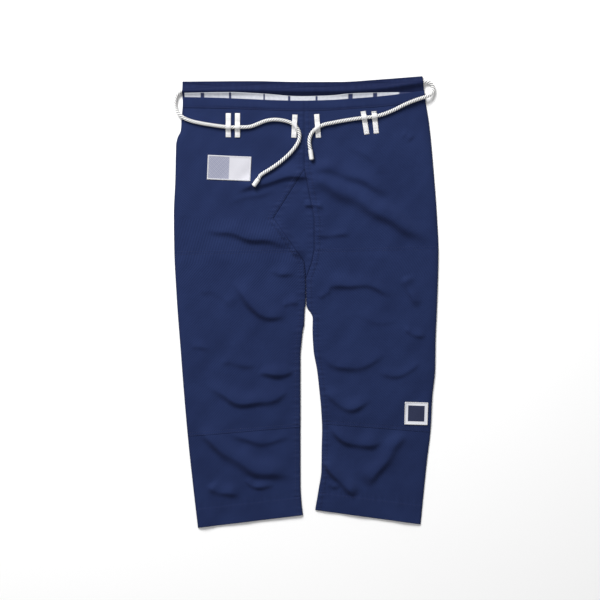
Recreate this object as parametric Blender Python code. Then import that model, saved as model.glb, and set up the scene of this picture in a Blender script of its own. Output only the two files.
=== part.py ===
# Judo-style cotton training trousers, laid flat with the front up.
#
# Metres. The surface that they lie on is z = 0 and the back panels rest on it.
# +X points to the wearer's left (right as seen from above), +Y to the waist, +Z up through the front.
# The origin is on the surface, in the middle of the cloth's own outline.
# "right" and "left" in the names are the wearer's.

from collections import namedtuple
from math import asin, atan2, cos, pi, sin, sqrt

import bpy
import bmesh
import numpy as np
from mathutils import Vector
from mathutils.bvhtree import BVHTree

# Cloth
CLOTH_WALL = 0.0014
BACK_WALL = 0.0012
PATCH_WALL = 0.0012
SEAM_GAP = 0.0003
CASING_GAP = 0.0005
LAY_GAP = 0.0003
LABEL_GAP = 0.0005
FRONT_REST = BACK_WALL + SEAM_GAP
LOFT = 0.0025
EDGE_ROLL = 0.018
FOLD_LIMIT = 0.011

# Waist of the front
BAND_DEPTH = 0.022
BAND_WALL = 0.0022
WAIST_RAISE = 0.0037
WAIST_RAISE_REACH = 0.045

# Hems and flat-felled inseams
HEM_DEPTH = 0.040
HEM_EXTRA = 0.0010
FELL_EXTRA = 0.0007

# Drawstring casing across the back of the waist
CASING_DEPTH = 0.038
CASING_WALL = 0.0012
CASING_SEAM = 0.0027
CASING_BULGE = 0.0090
CASING_BULGE_WIDTH = 0.0082
CHANNEL_HALF = 0.011
CASING_LEAN = 0.004
ROPE_DOWN = ((-0.267, 0.0205), (0.150, 0.0200), (0.251, 0.0130))

# Tape sewn inside the back of the waist
TAPE_WIDTH = 0.014
TAPE_WALL = 0.0010

# Rope, its whipped tips and the belt loops
ROPE_RADIUS = 0.004
TIP_RADIUS = 0.0052
TIP_LENGTH = 0.019
LOOP_WIDTH = 0.011
LOOP_WALL = 0.0010
LOOP_FOOT = 0.009
LOOP_CLEAR = 0.0010

# Labels
LABEL_WALL = 0.0010
THIGH_LABEL = dict(x=-0.1660, y=0.2887, width=0.094, height=0.053, turn=-0.042)
SHIN_LABEL = dict(x=0.2374, y=-0.2404, width=0.050, height=0.0485, turn=-0.03)

# Knee reinforcement, as heights on the inner edge of the leg
PATCH_TOP = 0.1145
PATCH_BOTTOM = -0.270

# Crotch gusset, as heights on the inner edge of the leg
GUSSET_TOP = 0.285
GUSSET_CORNER = 0.181
CROTCH = 0.0864
GUSSET_BOTTOM = 0.052

# Edges of the legs: x at each y, from the waist down
Edge = namedtuple("Edge", "y x")
RIGHT_OUTER = (
    Edge(0.442, -0.2660), Edge(0.416, -0.2665), Edge(0.393, -0.2690), Edge(0.370, -0.2705),
    Edge(0.355, -0.2775), Edge(0.339, -0.2808), Edge(0.264, -0.2825), Edge(0.188, -0.2856),
    Edge(0.112, -0.2847), Edge(0.026, -0.2804), Edge(-0.030, -0.2767), Edge(-0.093, -0.2717),
    Edge(-0.201, -0.2633), Edge(-0.309, -0.2536), Edge(-0.395, -0.2443), Edge(-0.4875, -0.2335))
LEFT_OUTER = (
    Edge(0.456, 0.2547), Edge(0.432, 0.2580), Edge(0.3845, 0.2655), Edge(0.296, 0.2741),
    Edge(0.177, 0.2828), Edge(0.112, 0.2856), Edge(-0.004, 0.2827), Edge(-0.082, 0.2795),
    Edge(-0.147, 0.2784), Edge(-0.201, 0.2726), Edge(-0.281, 0.2683), Edge(-0.337, 0.2616),
    Edge(-0.402, 0.2547), Edge(-0.480, 0.2471))
RIGHT_INNER = (
    Edge(0.4343, -0.0045), Edge(0.112, -0.0030), Edge(0.0864, -0.0024), Edge(0.026, -0.0008),
    Edge(-0.0065, -0.0016), Edge(-0.030, -0.0039), Edge(-0.093, -0.0100), Edge(-0.1145, -0.0125),
    Edge(-0.201, -0.0132), Edge(-0.309, -0.0132), Edge(-0.395, -0.0125), Edge(-0.428, -0.0104),
    Edge(-0.460, -0.0067))
LEFT_INNER = (
    Edge(0.4343, -0.0042), Edge(0.112, -0.0027), Edge(0.0864, -0.0021), Edge(0.026, 0.0004),
    Edge(-0.002, 0.0019), Edge(-0.030, 0.0084), Edge(-0.076, 0.0149), Edge(-0.127, 0.0214),
    Edge(-0.160, 0.0257), Edge(-0.212, 0.0279), Edge(-0.233, 0.0300), Edge(-0.393, 0.0300),
    Edge(-0.412, 0.0268), Edge(-0.449, 0.0214))

# How far the gusset pushes the inner edge of each leg outwards, by height
Notch = namedtuple("Notch", "y right left")
GUSSET_NOTCH = (
    Notch(GUSSET_TOP, 0.0010, 0.0010), Notch(GUSSET_CORNER, 0.0680, 0.0210),
    Notch(PATCH_TOP, 0.0216, 0.0210), Notch(CROTCH, 0.0020, 0.0150),
    Notch(GUSSET_BOTTOM, 0.0, 0.0015))

# Top edges of the waist: y at each x
BACK_TOP = ((-0.267, 0.4760), (-0.115, 0.4770), (-0.013, 0.4752), (0.073, 0.4752),
            (0.160, 0.4806), (0.251, 0.4875))
FRONT_TOP = ((-0.266, 0.4420), (-0.197, 0.4406), (-0.121, 0.4374), (-0.067, 0.4352),
             (-0.013, 0.4342), (0.052, 0.4357), (0.095, 0.4385), (0.138, 0.4417),
             (0.181, 0.4460), (0.224, 0.4514), (0.2547, 0.4558))
TAPE_TOP = ((-0.262, 0.4504), (-0.164, 0.4520), (-0.095, 0.4493), (-0.013, 0.4439),
            (0.052, 0.4455), (0.095, 0.4493), (0.149, 0.4514), (0.202, 0.4525),
            (0.250, 0.4520))

# Folds of the front: three points on the crest, its height, and how far it reaches
# on the waist side (gentle) and on the hem side (steep)
Fold = namedtuple("Fold", "x1 y1 x2 y2 x3 y3 height gentle steep")
FOLDS = (
    Fold(-0.009, 0.272, -0.078, 0.261, -0.156, 0.233, 0.006, 0.020, 0.012),
    Fold(-0.218, 0.162, -0.125, 0.140, -0.028, 0.123, 0.005, 0.024, 0.013),
    Fold(-0.154, 0.054, -0.110, -0.015, -0.037, -0.032, 0.006, 0.022, 0.013),
    Fold(-0.104, -0.149, -0.067, -0.156, -0.028, -0.143, 0.005, 0.018, 0.012),
    Fold(-0.223, -0.168, -0.125, -0.218, -0.033, -0.181, 0.005, 0.022, 0.012),
    Fold(-0.225, -0.274, -0.134, -0.350, -0.035, -0.365, 0.007, 0.026, 0.014),
    Fold(-0.214, -0.389, -0.186, -0.410, -0.138, -0.415, 0.003, 0.018, 0.012),
    Fold(-0.173, -0.270, -0.110, -0.300, -0.033, -0.287, 0.003, 0.018, 0.012),
    Fold(0.028, 0.283, 0.101, 0.268, 0.186, 0.227, 0.004, 0.018, 0.012),
    Fold(0.032, 0.264, 0.153, 0.197, 0.265, 0.127, 0.008, 0.022, 0.014),
    Fold(0.026, 0.032, 0.112, 0.041, 0.177, 0.024, 0.004, 0.020, 0.012),
    Fold(0.214, 0.058, 0.224, 0.022, 0.240, -0.013, 0.003, 0.014, 0.012),
    Fold(0.047, -0.108, 0.099, -0.140, 0.177, -0.097, 0.004, 0.024, 0.012),
    Fold(0.052, -0.188, 0.091, -0.225, 0.151, -0.203, 0.004, 0.018, 0.012),
    Fold(0.049, -0.259, 0.106, -0.307, 0.170, -0.292, 0.005, 0.020, 0.012),
    Fold(0.058, -0.335, 0.086, -0.380, 0.114, -0.413, 0.006, 0.018, 0.012),
    Fold(0.209, -0.287, 0.168, -0.343, 0.125, -0.391, 0.006, 0.020, 0.012))

# Belt loops, from the waist end to the hem end
Loop = namedtuple("Loop", "name x1 y1 x2 y2")
LOOPS = (
    Loop("belt_loop_right_outer", -0.1678, 0.4072, -0.1678, 0.3553),
    Loop("belt_loop_right_middle", -0.1480, 0.4072, -0.1480, 0.3547),
    Loop("belt_loop_right_centre", -0.0240, 0.4039, -0.0264, 0.3542),
    Loop("belt_loop_left_centre", 0.0227, 0.4050, 0.0266, 0.3542),
    Loop("belt_loop_left_middle", 0.1229, 0.4113, 0.1311, 0.3612),
    Loop("belt_loop_left_outer", 0.1462, 0.4113, 0.1516, 0.3631))

# Rope. The back run follows the casing between these two places; the routes of the visible
# runs are chosen by hand.
ROPE_BACK_ENDS = (-0.2573, 0.2388)
ROPE_IN_CASING = 0.0056
ROPE_RIGHT = ((-0.2590, 0.4555, 0.0056), (-0.2675, 0.4549, 0.0056), (-0.2763, 0.4485, 0.0050),
              (-0.2816, 0.4352, 0.0044), (-0.2812, 0.4201, 0.0052), (-0.2754, 0.4072, 0.0078),
              (-0.2648, 0.3974, 0.0095), (-0.2508, 0.3910, 0.0099), (-0.2292, 0.3856, 0.0098),
              (-0.2033, 0.3812, 0.0098), (-0.1687, 0.3769, 0.0098), (-0.1428, 0.3765, 0.0098),
              (-0.1177, 0.3785, 0.0098), (-0.1039, 0.3838, 0.0098), (-0.0888, 0.3897, 0.0098),
              (-0.0700, 0.3929, 0.0099), (-0.0514, 0.3914, 0.0100), (-0.0331, 0.3862, 0.0102),
              (-0.0205, 0.3762, 0.0105), (-0.0145, 0.3629, 0.0105), (-0.0152, 0.3495, 0.0105),
              (-0.0220, 0.3361, 0.0105), (-0.0313, 0.3243, 0.0103), (-0.0469, 0.3090, 0.0105),
              (-0.0637, 0.2955, 0.0117), (-0.0823, 0.2832, 0.0129), (-0.0925, 0.2769, 0.0139),
              (-0.0990, 0.2715, 0.0144), (-0.1022, 0.2650, 0.0146))
ROPE_LEFT = ((0.2407, 0.4732, 0.0056), (0.2500, 0.4746, 0.0056), (0.2590, 0.4747, 0.0055),
             (0.2655, 0.4733, 0.0053), (0.2701, 0.4701, 0.0050), (0.2735, 0.4650, 0.0049),
             (0.2747, 0.4590, 0.0052), (0.2735, 0.4530, 0.0062), (0.2701, 0.4479, 0.0076),
             (0.2640, 0.4443, 0.0098), (0.2560, 0.4415, 0.0117), (0.2365, 0.4350, 0.0117),
             (0.2130, 0.4255, 0.0113), (0.1896, 0.4139, 0.0105), (0.1661, 0.4044, 0.0099),
             (0.1475, 0.3996, 0.0099), (0.1240, 0.3970, 0.0099), (0.0935, 0.3927, 0.0099),
             (0.0607, 0.3869, 0.0099), (0.0344, 0.3806, 0.0099), (0.0196, 0.3722, 0.0102),
             (0.0104, 0.3610, 0.0105), (0.0070, 0.3490, 0.0105), (0.0074, 0.3380, 0.0105),
             (0.0089, 0.3283, 0.0105))
ROPE_POINTS = dict(drawstring_back=12, drawstring_right=38, drawstring_left=30)
ROPE_BEVEL = 3

# Rows of the leg panels: heights on the inner edge, and how many rows follow each
Mark = namedtuple("Mark", "level rows")
WAIST = 0.4343
LEG_END = -0.460
HEM_TOP = LEG_END + HEM_DEPTH
HEM_STEP = 0.002
BAND_END = WAIST - BAND_DEPTH
BAND_MARKS = (Mark(WAIST, 2), Mark(BAND_END, 0))
PANEL_MARKS = (
    Mark(BAND_END - SEAM_GAP, 6), Mark(GUSSET_TOP, 5), Mark(GUSSET_CORNER, 3),
    Mark(PATCH_TOP, 1), Mark(CROTCH, 2), Mark(GUSSET_BOTTOM, 15), Mark(PATCH_BOTTOM, 7),
    Mark(HEM_TOP, 1), Mark(HEM_TOP - HEM_STEP, 2), Mark(LEG_END, 0))
BACK_MARKS = (
    Mark(BAND_END - BAND_DEPTH, 3), Mark(GUSSET_TOP, 2), Mark(GUSSET_CORNER, 1),
    Mark(PATCH_TOP, 1), Mark(CROTCH, 1), Mark(GUSSET_BOTTOM, 7), Mark(PATCH_BOTTOM, 4),
    Mark(LEG_END, 0))

# Columns of the leg panels: share of the width, from the inner edge to the outer
COLUMNS = (0.0, 0.048, 0.062, 0.13, 0.205, 0.28, 0.36, 0.44, 0.52, 0.60, 0.68, 0.76, 0.84,
           0.91, 0.965, 1.0)
FELL_COLUMNS = 2
BACK_COLUMNS = (0.0, 0.14, 0.28, 0.42, 0.56, 0.70, 0.85, 1.0)
GUSSET_COLUMNS = 6

# Facets of the smaller pieces
CASING_SECTIONS = 18
CASING_TOP_POINTS = 15
CASING_BOTTOM_POINTS = 3
TAPE_SECTIONS = 24
TAPE_COLUMNS = 6
LOOP_COLUMNS = 3
LOOP_ARC_POINTS = 7
LOOP_FOOT_POINTS = 3
LOOP_PROBES = 12
FOLD_SAMPLES = 25
LABEL_CELL = 0.0065
TIP_SIDES = 12
TIP_PROBES = 5

MATERIALS = {
    "navy_twill": ((0.020, 0.032, 0.105), 0.85),
    "white_webbing": ((0.80, 0.80, 0.80), 0.80),
    "white_rope": ((0.83, 0.83, 0.82), 0.80),
    "waist_tape": ((0.62, 0.64, 0.68), 0.75),
    "woven_label": ((0.60, 0.61, 0.68), 0.70),
    "rope_whipping": ((0.86, 0.86, 0.86), 0.60),
}


def clear_scene():
    for item in list(bpy.data.objects):
        bpy.data.objects.remove(item, do_unlink=True)


def material(name):
    """The named finish, made once."""
    found = bpy.data.materials.get(name)
    if found:
        return found
    colour, roughness = MATERIALS[name]
    made = bpy.data.materials.new(name)
    made.use_nodes = True
    shader = made.node_tree.nodes["Principled BSDF"]
    shader.inputs["Base Color"].default_value = (*colour, 1.0)
    shader.inputs["Roughness"].default_value = roughness
    return made


# Curves and shares

def ease(value):
    """0 to 1 with soft ends."""
    value = np.clip(value, 0, 1)
    return value * value * (3 - 2 * value)


def through(points, at):
    """Values at `at` of the smooth curve through (u, value) points, kept to their range."""
    table = np.array(sorted((point[0], point[1]) for point in points))
    u, value = table[:, 0], table[:, 1]
    step = np.diff(u)
    slope = np.diff(value) / step
    tangent = np.empty_like(value)
    tangent[0], tangent[-1] = slope[0], slope[-1]
    same_way = slope[:-1] * slope[1:] > 0
    total = np.where(same_way, slope[:-1] + slope[1:], 1.0)
    tangent[1:-1] = np.where(same_way, 2 * slope[:-1] * slope[1:] / total, 0.0)
    at = np.clip(at, u[0], u[-1])
    k = np.clip(np.searchsorted(u, at) - 1, 0, len(step) - 1)
    f = (at - u[k]) / step[k]
    ends = (1 + 2 * f) * (1 - f) ** 2 * value[k] + f * f * (3 - 2 * f) * value[k + 1]
    pull = f * (1 - f) ** 2 * tangent[k] - f * f * (1 - f) * tangent[k + 1]
    return ends + step[k] * pull


def row_levels(marks):
    """Heights of the rows between marks, evenly spaced in each stretch."""
    stretches = [np.linspace(a.level, b.level, a.rows, endpoint=False)
                 for a, b in zip(marks[:-1], marks[1:])]
    return np.append(np.concatenate(stretches), marks[-1].level)


# Outline of the legs

SIDES = {
    "right": dict(outer=RIGHT_OUTER, inner=RIGHT_INNER, way=-1),
    "left": dict(outer=LEFT_OUTER, inner=LEFT_INNER, way=1),
}


def inner_y(side, level):
    """Height on a leg's own inner edge. The legs are equal down to the gusset's end."""
    end = SIDES[side]["inner"][-1].y
    below = (GUSSET_BOTTOM - level) / (GUSSET_BOTTOM - LEG_END)
    return np.where(level > GUSSET_BOTTOM, level, GUSSET_BOTTOM + below * (end - GUSSET_BOTTOM))


def outer_y(side, level):
    """Height on a leg's outer edge, which is longer than the inner one."""
    outer = SIDES[side]["outer"]
    share = (WAIST - level) / (WAIST - LEG_END)
    return outer[0].y + share * (outer[-1].y - outer[0].y)


def notch(side, y):
    """Width that the gusset takes from a leg at height y."""
    levels = [row.y for row in reversed(GUSSET_NOTCH)]
    widths = [getattr(row, side) for row in reversed(GUSSET_NOTCH)]
    return np.interp(y, levels, widths, left=0.0, right=0.0)


def leg_grid(side, levels, columns):
    """x and y of a leg's rows: straight between its edges, bowed like the waist near the top."""
    level = np.asarray(levels)[:, None]
    share = np.asarray(columns)[None, :]
    y_in, y_out = inner_y(side, level), outer_y(side, level)
    leg = SIDES[side]
    x_in = through(leg["inner"], y_in) + leg["way"] * notch(side, y_in)
    x_out = through(leg["outer"], y_out)
    x = x_in + share * (x_out - x_in)
    y = y_in + share * (y_out - y_in)
    straight = WAIST + share * (leg["outer"][0].y - WAIST)
    bow = through(FRONT_TOP, x) - straight
    fade = 1 - ease((WAIST - level) / (WAIST - GUSSET_TOP))
    return x, y + bow * fade


# Height of the front: loft, rolled edges, the raise over the casing, and the folds

def rise(distance):
    """Round shoulder of a rolled edge: 0 at the edge, 1 at the roll's end."""
    left_over = 1 - np.clip(distance / EDGE_ROLL, 0, 1)
    return 1 - left_over ** 2


def fold_height(x, y):
    """Crest height along each fold, falling gently to the waist side and steeply to the hem."""
    at = np.linspace(0, 1, FOLD_SAMPLES)
    total = np.zeros_like(x)
    for fold in FOLDS:
        # The crest passes through its middle point half way along
        ends_x, ends_y = fold.x1 + fold.x3, fold.y1 + fold.y3
        pull_x, pull_y = 2 * fold.x2 - ends_x / 2, 2 * fold.y2 - ends_y / 2
        crest_x = (1 - at) ** 2 * fold.x1 + 2 * at * (1 - at) * pull_x + at ** 2 * fold.x3
        crest_y = (1 - at) ** 2 * fold.y1 + 2 * at * (1 - at) * pull_y + at ** 2 * fold.y3
        away = np.hypot(x[..., None] - crest_x, y[..., None] - crest_y)
        nearest = np.argmin(away, axis=-1)
        distance = np.min(away, axis=-1)
        side = y - crest_y[nearest]
        reach = np.where(side > 0, fold.gentle, fold.steep)
        along = at[nearest]
        taper = ease(along * 4) * ease((1 - along) * 4)
        total += fold.height * taper * np.exp(-(distance / reach) ** 2)
    return FOLD_LIMIT * np.tanh(total / FOLD_LIMIT)


def front_under(x, y):
    """Underside of the front cloth above the surface."""
    outer = np.minimum(x - through(RIGHT_OUTER, y), through(LEFT_OUTER, y) - x)
    crack = np.maximum(through(RIGHT_INNER, y) - x, x - through(LEFT_INNER, y))
    split = ease((CROTCH + 0.010 - y) / 0.060)
    roll = rise(outer) * (1 - split * (1 - rise(np.maximum(crack, 0))))
    waist = 1 - ease((through(FRONT_TOP, x) - y) / WAIST_RAISE_REACH)
    hem = 1 - ease((y - LEG_END) / 0.060)
    loft = LOFT * roll * (1 - 0.5 * hem) * (1 - waist)
    return FRONT_REST + loft + WAIST_RAISE * waist + fold_height(x, y) * roll * (1 - waist)


# Mesh makers

def finish(name, mesh, material_name):
    item = bpy.data.objects.new(name, mesh)
    bpy.context.collection.objects.link(item)
    item.data.materials.append(material(material_name))
    return item


def closed_mesh(name, points, faces, material_name):
    """One closed body with its faces pointing out."""
    mesh = bpy.data.meshes.new(name)
    mesh.from_pydata([tuple(point) for point in points], [], faces)
    shell = bmesh.new()
    shell.from_mesh(mesh)
    bmesh.ops.triangulate(shell, faces=shell.faces)
    bmesh.ops.recalc_face_normals(shell, faces=shell.faces)
    shell.to_mesh(mesh)
    shell.free()
    return finish(name, mesh, material_name)


def sheet(name, under, over, material_name):
    """Wall between two grids of points (rows, columns, 3) with a rim all round."""
    rows, columns = under.shape[:2]
    count = rows * columns

    def at(row, column, top):
        return row * columns + column + (count if top else 0)

    faces = []
    for r in range(rows - 1):
        for c in range(columns - 1):
            ring = ((r, c), (r, c + 1), (r + 1, c + 1), (r + 1, c))
            faces.append([at(*corner, True) for corner in ring])
            faces.append([at(*corner, False) for corner in reversed(ring)])
    rim = ([(0, c) for c in range(columns)] + [(r, columns - 1) for r in range(1, rows)]
           + [(rows - 1, c) for c in range(columns - 2, -1, -1)]
           + [(r, 0) for r in range(rows - 2, 0, -1)])
    for a, b in zip(rim, rim[1:] + rim[:1]):
        faces.append([at(*a, False), at(*b, False), at(*b, True), at(*a, True)])
    points = np.concatenate([under.reshape(-1, 3), over.reshape(-1, 3)])
    return closed_mesh(name, points, faces, material_name)


def grid_points(x, y, z):
    return np.stack(np.broadcast_arrays(x, y, z), axis=-1)


def surface_tree(items):
    """Search tree over the faces of several pieces."""
    points, faces = [], []
    for item in items:
        start = len(points)
        points += [vertex.co.copy() for vertex in item.data.vertices]
        faces += [[start + index for index in face.vertices] for face in item.data.polygons]
    return BVHTree.FromPolygons(points, faces)


def height_at(tree, x, y):
    """Top of the pieces in the tree at one place."""
    return tree.ray_cast(Vector((x, y, 0.2)), Vector((0, 0, -1)))[0].z


def highest_near(tree, x, y):
    """Top of the pieces in the tree within a tip's width of one place."""
    steps = np.linspace(-TIP_RADIUS, TIP_RADIUS, TIP_PROBES)
    return max(height_at(tree, x + dx, y + dy) for dx in steps for dy in steps)


# Panels of the legs

def make_front_panel(side):
    levels = row_levels(PANEL_MARKS)
    x, y = leg_grid(side, levels, COLUMNS)
    under = front_under(x, y)
    hem = ease((HEM_TOP - levels) / HEM_STEP)[:, None] * HEM_EXTRA
    fell = np.zeros(len(COLUMNS))
    fell[:FELL_COLUMNS] = FELL_EXTRA
    over = under + CLOTH_WALL + hem + fell[None, :]
    item = sheet(f"front_leg_{side}", grid_points(x, y, under), grid_points(x, y, over),
                 "navy_twill")
    return item, levels, grid_points(x, y, over)


def make_knee_patch(side, levels, panel_top):
    """Second layer over the knee, from the panel's own points moved out."""
    rows = (levels <= PATCH_TOP + 1e-6) & (levels >= PATCH_BOTTOM - 1e-6)
    out = np.array((0, 0, 1.0))
    under = panel_top[rows] + out * LAY_GAP
    return sheet(f"knee_patch_{side}", under, under + out * PATCH_WALL, "navy_twill")


def make_gusset():
    """Diamond between the legs. Below the crotch it follows the left leg's own inner edge."""
    levels = row_levels(PANEL_MARKS)
    levels = levels[(levels <= GUSSET_TOP + 1e-6) & (levels >= GUSSET_BOTTOM - 1e-6)]
    share = np.linspace(0, 1, GUSSET_COLUMNS + 1)[None, :]
    x_right, y = leg_grid("right", levels, (0.0,))
    x_left = leg_grid("left", levels, (0.0,))[0]
    x_start = np.where(y < CROTCH - 1e-6, through(LEFT_INNER, y), x_right + SEAM_GAP)
    x = x_start + share * (x_left - SEAM_GAP - x_start)
    y = np.broadcast_to(y, x.shape)
    under = front_under(x, y)
    front = sheet("crotch_gusset_front", grid_points(x, y, under),
                  grid_points(x, y, under + CLOTH_WALL), "navy_twill")
    back = sheet("crotch_gusset_back", grid_points(x, y, 0.0), grid_points(x, y, BACK_WALL),
                 "navy_twill")
    return front, back


def make_back_panel(side):
    """Flat layer under the front, from the casing's lower edge to the hem."""
    x, y = leg_grid(side, row_levels(BACK_MARKS), BACK_COLUMNS)
    top_out = SIDES[side]["outer"][0].x - SIDES[side]["way"] * 0.0005
    share = np.asarray(BACK_COLUMNS)
    top_x = SIDES[side]["inner"][0].x + share * (top_out - SIDES[side]["inner"][0].x)
    top_y = casing_edge(top_x) - CASING_GAP
    x = np.vstack([top_x, x])
    y = np.vstack([top_y, y])
    return sheet(f"back_leg_{side}", grid_points(x, y, 0.0), grid_points(x, y, BACK_WALL),
                 "navy_twill")


# Waist

def casing_edge(x):
    """Lower edge of the casing, as straight stretches between its sections."""
    stations = casing_stations()
    lower_x = stations + CASING_LEAN * (stations - stations[0]) / (stations[-1] - stations[0])
    return np.interp(x, lower_x, through(BACK_TOP, stations) - CASING_DEPTH)


def casing_stations():
    return np.linspace(BACK_TOP[0][0], BACK_TOP[-1][0], CASING_SECTIONS + 1)


def casing_top(x, v):
    """Height of the casing's outer side at a distance v from its top edge."""
    across = (v - through(ROPE_DOWN, x)) / CASING_BULGE_WIDTH
    return CASING_SEAM + CASING_BULGE * np.exp(-across ** 2)


def make_casing():
    """Open-ended tube of cloth with the channel that holds the rope."""
    v_top = np.linspace(0, CASING_DEPTH, CASING_TOP_POINTS)
    v_low = np.linspace(CASING_DEPTH, 0, CASING_BOTTOM_POINTS + 2)[1:-1]
    v = np.concatenate([[0], v_top, [CASING_DEPTH], v_low])[None, :]
    is_top = np.zeros(v.shape, bool)
    is_top[0, 1:CASING_TOP_POINTS + 1] = True
    stations = casing_stations()[:, None]
    channel_start = through(ROPE_DOWN, stations) - CHANNEL_HALF
    v_inner = channel_start + v * (2 * CHANNEL_HALF / CASING_DEPTH)
    z_outer = np.where(is_top, casing_top(stations, v), 0)
    z_inner = np.where(is_top, casing_top(stations, v_inner) - CASING_WALL, CASING_WALL)
    top_y = through(BACK_TOP, stations)
    lean = CASING_LEAN * (stations - stations[0]) / (stations[-1] - stations[0])
    rings = []
    for depth, z in ((v, z_outer), (v_inner, z_inner)):
        rings.append(grid_points(stations + lean * depth / CASING_DEPTH, top_y - depth, z))
    sections, ring = rings[0].shape[:2]
    count = sections * ring
    faces = []
    for s in range(sections - 1):
        for k in range(ring):
            quad = [s * ring + k, s * ring + (k + 1) % ring]
            quad += [quad[1] + ring, quad[0] + ring]
            faces.append(quad)
            faces.append([count + corner for corner in reversed(quad)])
    for s in (0, sections - 1):
        for k in range(ring):
            a, b = s * ring + k, s * ring + (k + 1) % ring
            faces.append([a, b, count + b, count + a])
    points = np.concatenate([part.reshape(-1, 3) for part in rings])
    return closed_mesh("waist_casing_back", points, faces, "navy_twill")


def make_tape():
    """Tape over the casing's lower seam, on the inside of the back."""
    x = np.linspace(TAPE_TOP[0][0], TAPE_TOP[-1][0], TAPE_SECTIONS + 1)[:, None]
    across = np.linspace(0, TAPE_WIDTH, TAPE_COLUMNS)[None, :]
    y = through(TAPE_TOP, x) - across
    v = np.minimum(through(BACK_TOP, x) - y, CASING_DEPTH)
    under = casing_top(x, v) + LABEL_GAP
    return sheet("waist_tape", grid_points(x, y, under), grid_points(x, y, under + TAPE_WALL),
                 "waist_tape")


def make_band():
    """Hemmed band along the waist of the front."""
    levels = row_levels(BAND_MARKS)
    halves = [leg_grid(side, levels, COLUMNS) for side in ("right", "left")]
    x = np.concatenate([halves[0][0][:, ::-1], halves[1][0][:, 1:]], axis=1)
    y = np.concatenate([halves[0][1][:, ::-1], halves[1][1][:, 1:]], axis=1)
    under = front_under(x, y)
    return sheet("waistband_front", grid_points(x, y, under),
                 grid_points(x, y, under + BAND_WALL), "navy_twill")


# Rope

def smooth_route(route, count):
    """Evenly spaced points of the smooth curve through a route's points."""
    route = np.array(route)
    run = np.append(0, np.cumsum(np.linalg.norm(np.diff(route, axis=0), axis=1)))
    fine = np.linspace(0, run[-1], 40 * len(route))
    tangent = np.gradient(route, run, axis=0)
    k = np.clip(np.searchsorted(run, fine) - 1, 0, len(run) - 2)
    span = (run[k + 1] - run[k])[:, None]
    f = ((fine - run[k])[:, None]) / span
    curve = ((1 + 2 * f) * (1 - f) ** 2 * route[k] + f * (1 - f) ** 2 * span * tangent[k]
             + f * f * (3 - 2 * f) * route[k + 1] - f * f * (1 - f) * span * tangent[k + 1])
    along = np.append(0, np.cumsum(np.linalg.norm(np.diff(curve, axis=0), axis=1)))
    even = np.linspace(0, along[-1], count)
    return np.stack([np.interp(even, along, curve[:, axis]) for axis in range(3)], axis=1)


def back_route():
    """The rope's run along the middle of the casing."""
    x = np.linspace(*ROPE_BACK_ENDS, ROPE_POINTS["drawstring_back"])
    return grid_points(x, through(BACK_TOP, x) - through(ROPE_DOWN, x), ROPE_IN_CASING)


def make_rope(name, route):
    points = smooth_route(route, ROPE_POINTS[name])
    curve = bpy.data.curves.new(name, "CURVE")
    curve.dimensions = "3D"
    curve.bevel_depth = ROPE_RADIUS
    curve.bevel_resolution = ROPE_BEVEL
    curve.use_fill_caps = True
    spline = curve.splines.new("POLY")
    spline.points.add(len(points) - 1)
    for target, point in zip(spline.points, points):
        target.co = (*point, 1.0)
    finish(name, curve, "white_rope")
    return points


def make_tip(name, rope_points, tree):
    """Whipped end: a short cylinder with a rounded end, lying on the cloth beyond the rope."""
    end, before = (Vector(rope_points[index]) for index in (-1, -2))
    rope_heading = (end - before).normalized()
    level = Vector((rope_heading.x, rope_heading.y, 0)).normalized()
    shares = np.linspace(0, 1, TIP_PROBES)
    rests = []
    for share in shares:
        place = end + level * (TIP_LENGTH * share)
        rests.append(highest_near(tree, place.x, place.y) + LAY_GAP + TIP_RADIUS)
    slope = rests[-1] - rests[0]
    lift = max(rest - rests[0] - slope * share for rest, share in zip(rests, shares))
    heading = (level * TIP_LENGTH + Vector((0, 0, slope))).normalized()
    bend = sin(heading.angle(rope_heading))
    start = end + level * (SEAM_GAP + bend * (TIP_RADIUS + ROPE_RADIUS))
    start.z = rests[0] + lift
    across = heading.cross(Vector((0, 0, 1)))
    profile = ((0, 0.9), (0.12, 1.0), (0.85, 1.0), (0.97, 0.85), (1.0, 0.55))
    rings = []
    for share, size in profile:
        centre = start + heading * (TIP_LENGTH * share)
        for k in range(TIP_SIDES):
            angle = 2 * pi * k / TIP_SIDES
            spoke = across * cos(angle) + Vector((0, 0, 1)) * sin(angle)
            rings.append(centre + spoke * (TIP_RADIUS * size))
    faces = []
    for s in range(len(profile) - 1):
        for k in range(TIP_SIDES):
            a, b = s * TIP_SIDES + k, s * TIP_SIDES + (k + 1) % TIP_SIDES
            faces.append([a, b, b + TIP_SIDES, a + TIP_SIDES])
    faces.append(list(range(TIP_SIDES)))
    faces.append(list(range(len(rings) - TIP_SIDES, len(rings))))
    return closed_mesh(name, rings, faces, "rope_whipping")


# Belt loops

def strap_profile(length, cross, widen, rope_z, base):
    """Places (u, z) of a strap's underside: flat feet, tangent to the rope and over it."""
    radius = ROPE_RADIUS + LOOP_CLEAR
    foot = base + LAY_GAP
    drop = rope_z - foot
    reach = sqrt(LOOP_FOOT ** 2 + drop ** 2)
    lean = atan2(drop, LOOP_FOOT) + asin(radius / reach)
    turns = np.linspace(-lean, lean, LOOP_ARC_POINTS)
    before = np.linspace(0, cross - widen * LOOP_FOOT, LOOP_FOOT_POINTS)
    after = np.linspace(cross + widen * LOOP_FOOT, length, LOOP_FOOT_POINTS)
    arc = cross + widen * radius * np.sin(turns)
    u = np.concatenate([before, arc, after])
    z = np.concatenate([0 * before + foot, rope_z + radius * np.cos(turns), 0 * after + foot])
    slope = np.concatenate([0 * before, turns, 0 * after])
    slope[LOOP_FOOT_POINTS - 1] = -lean / 2
    slope[-LOOP_FOOT_POINTS] = lean / 2
    return u, z, slope


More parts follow.
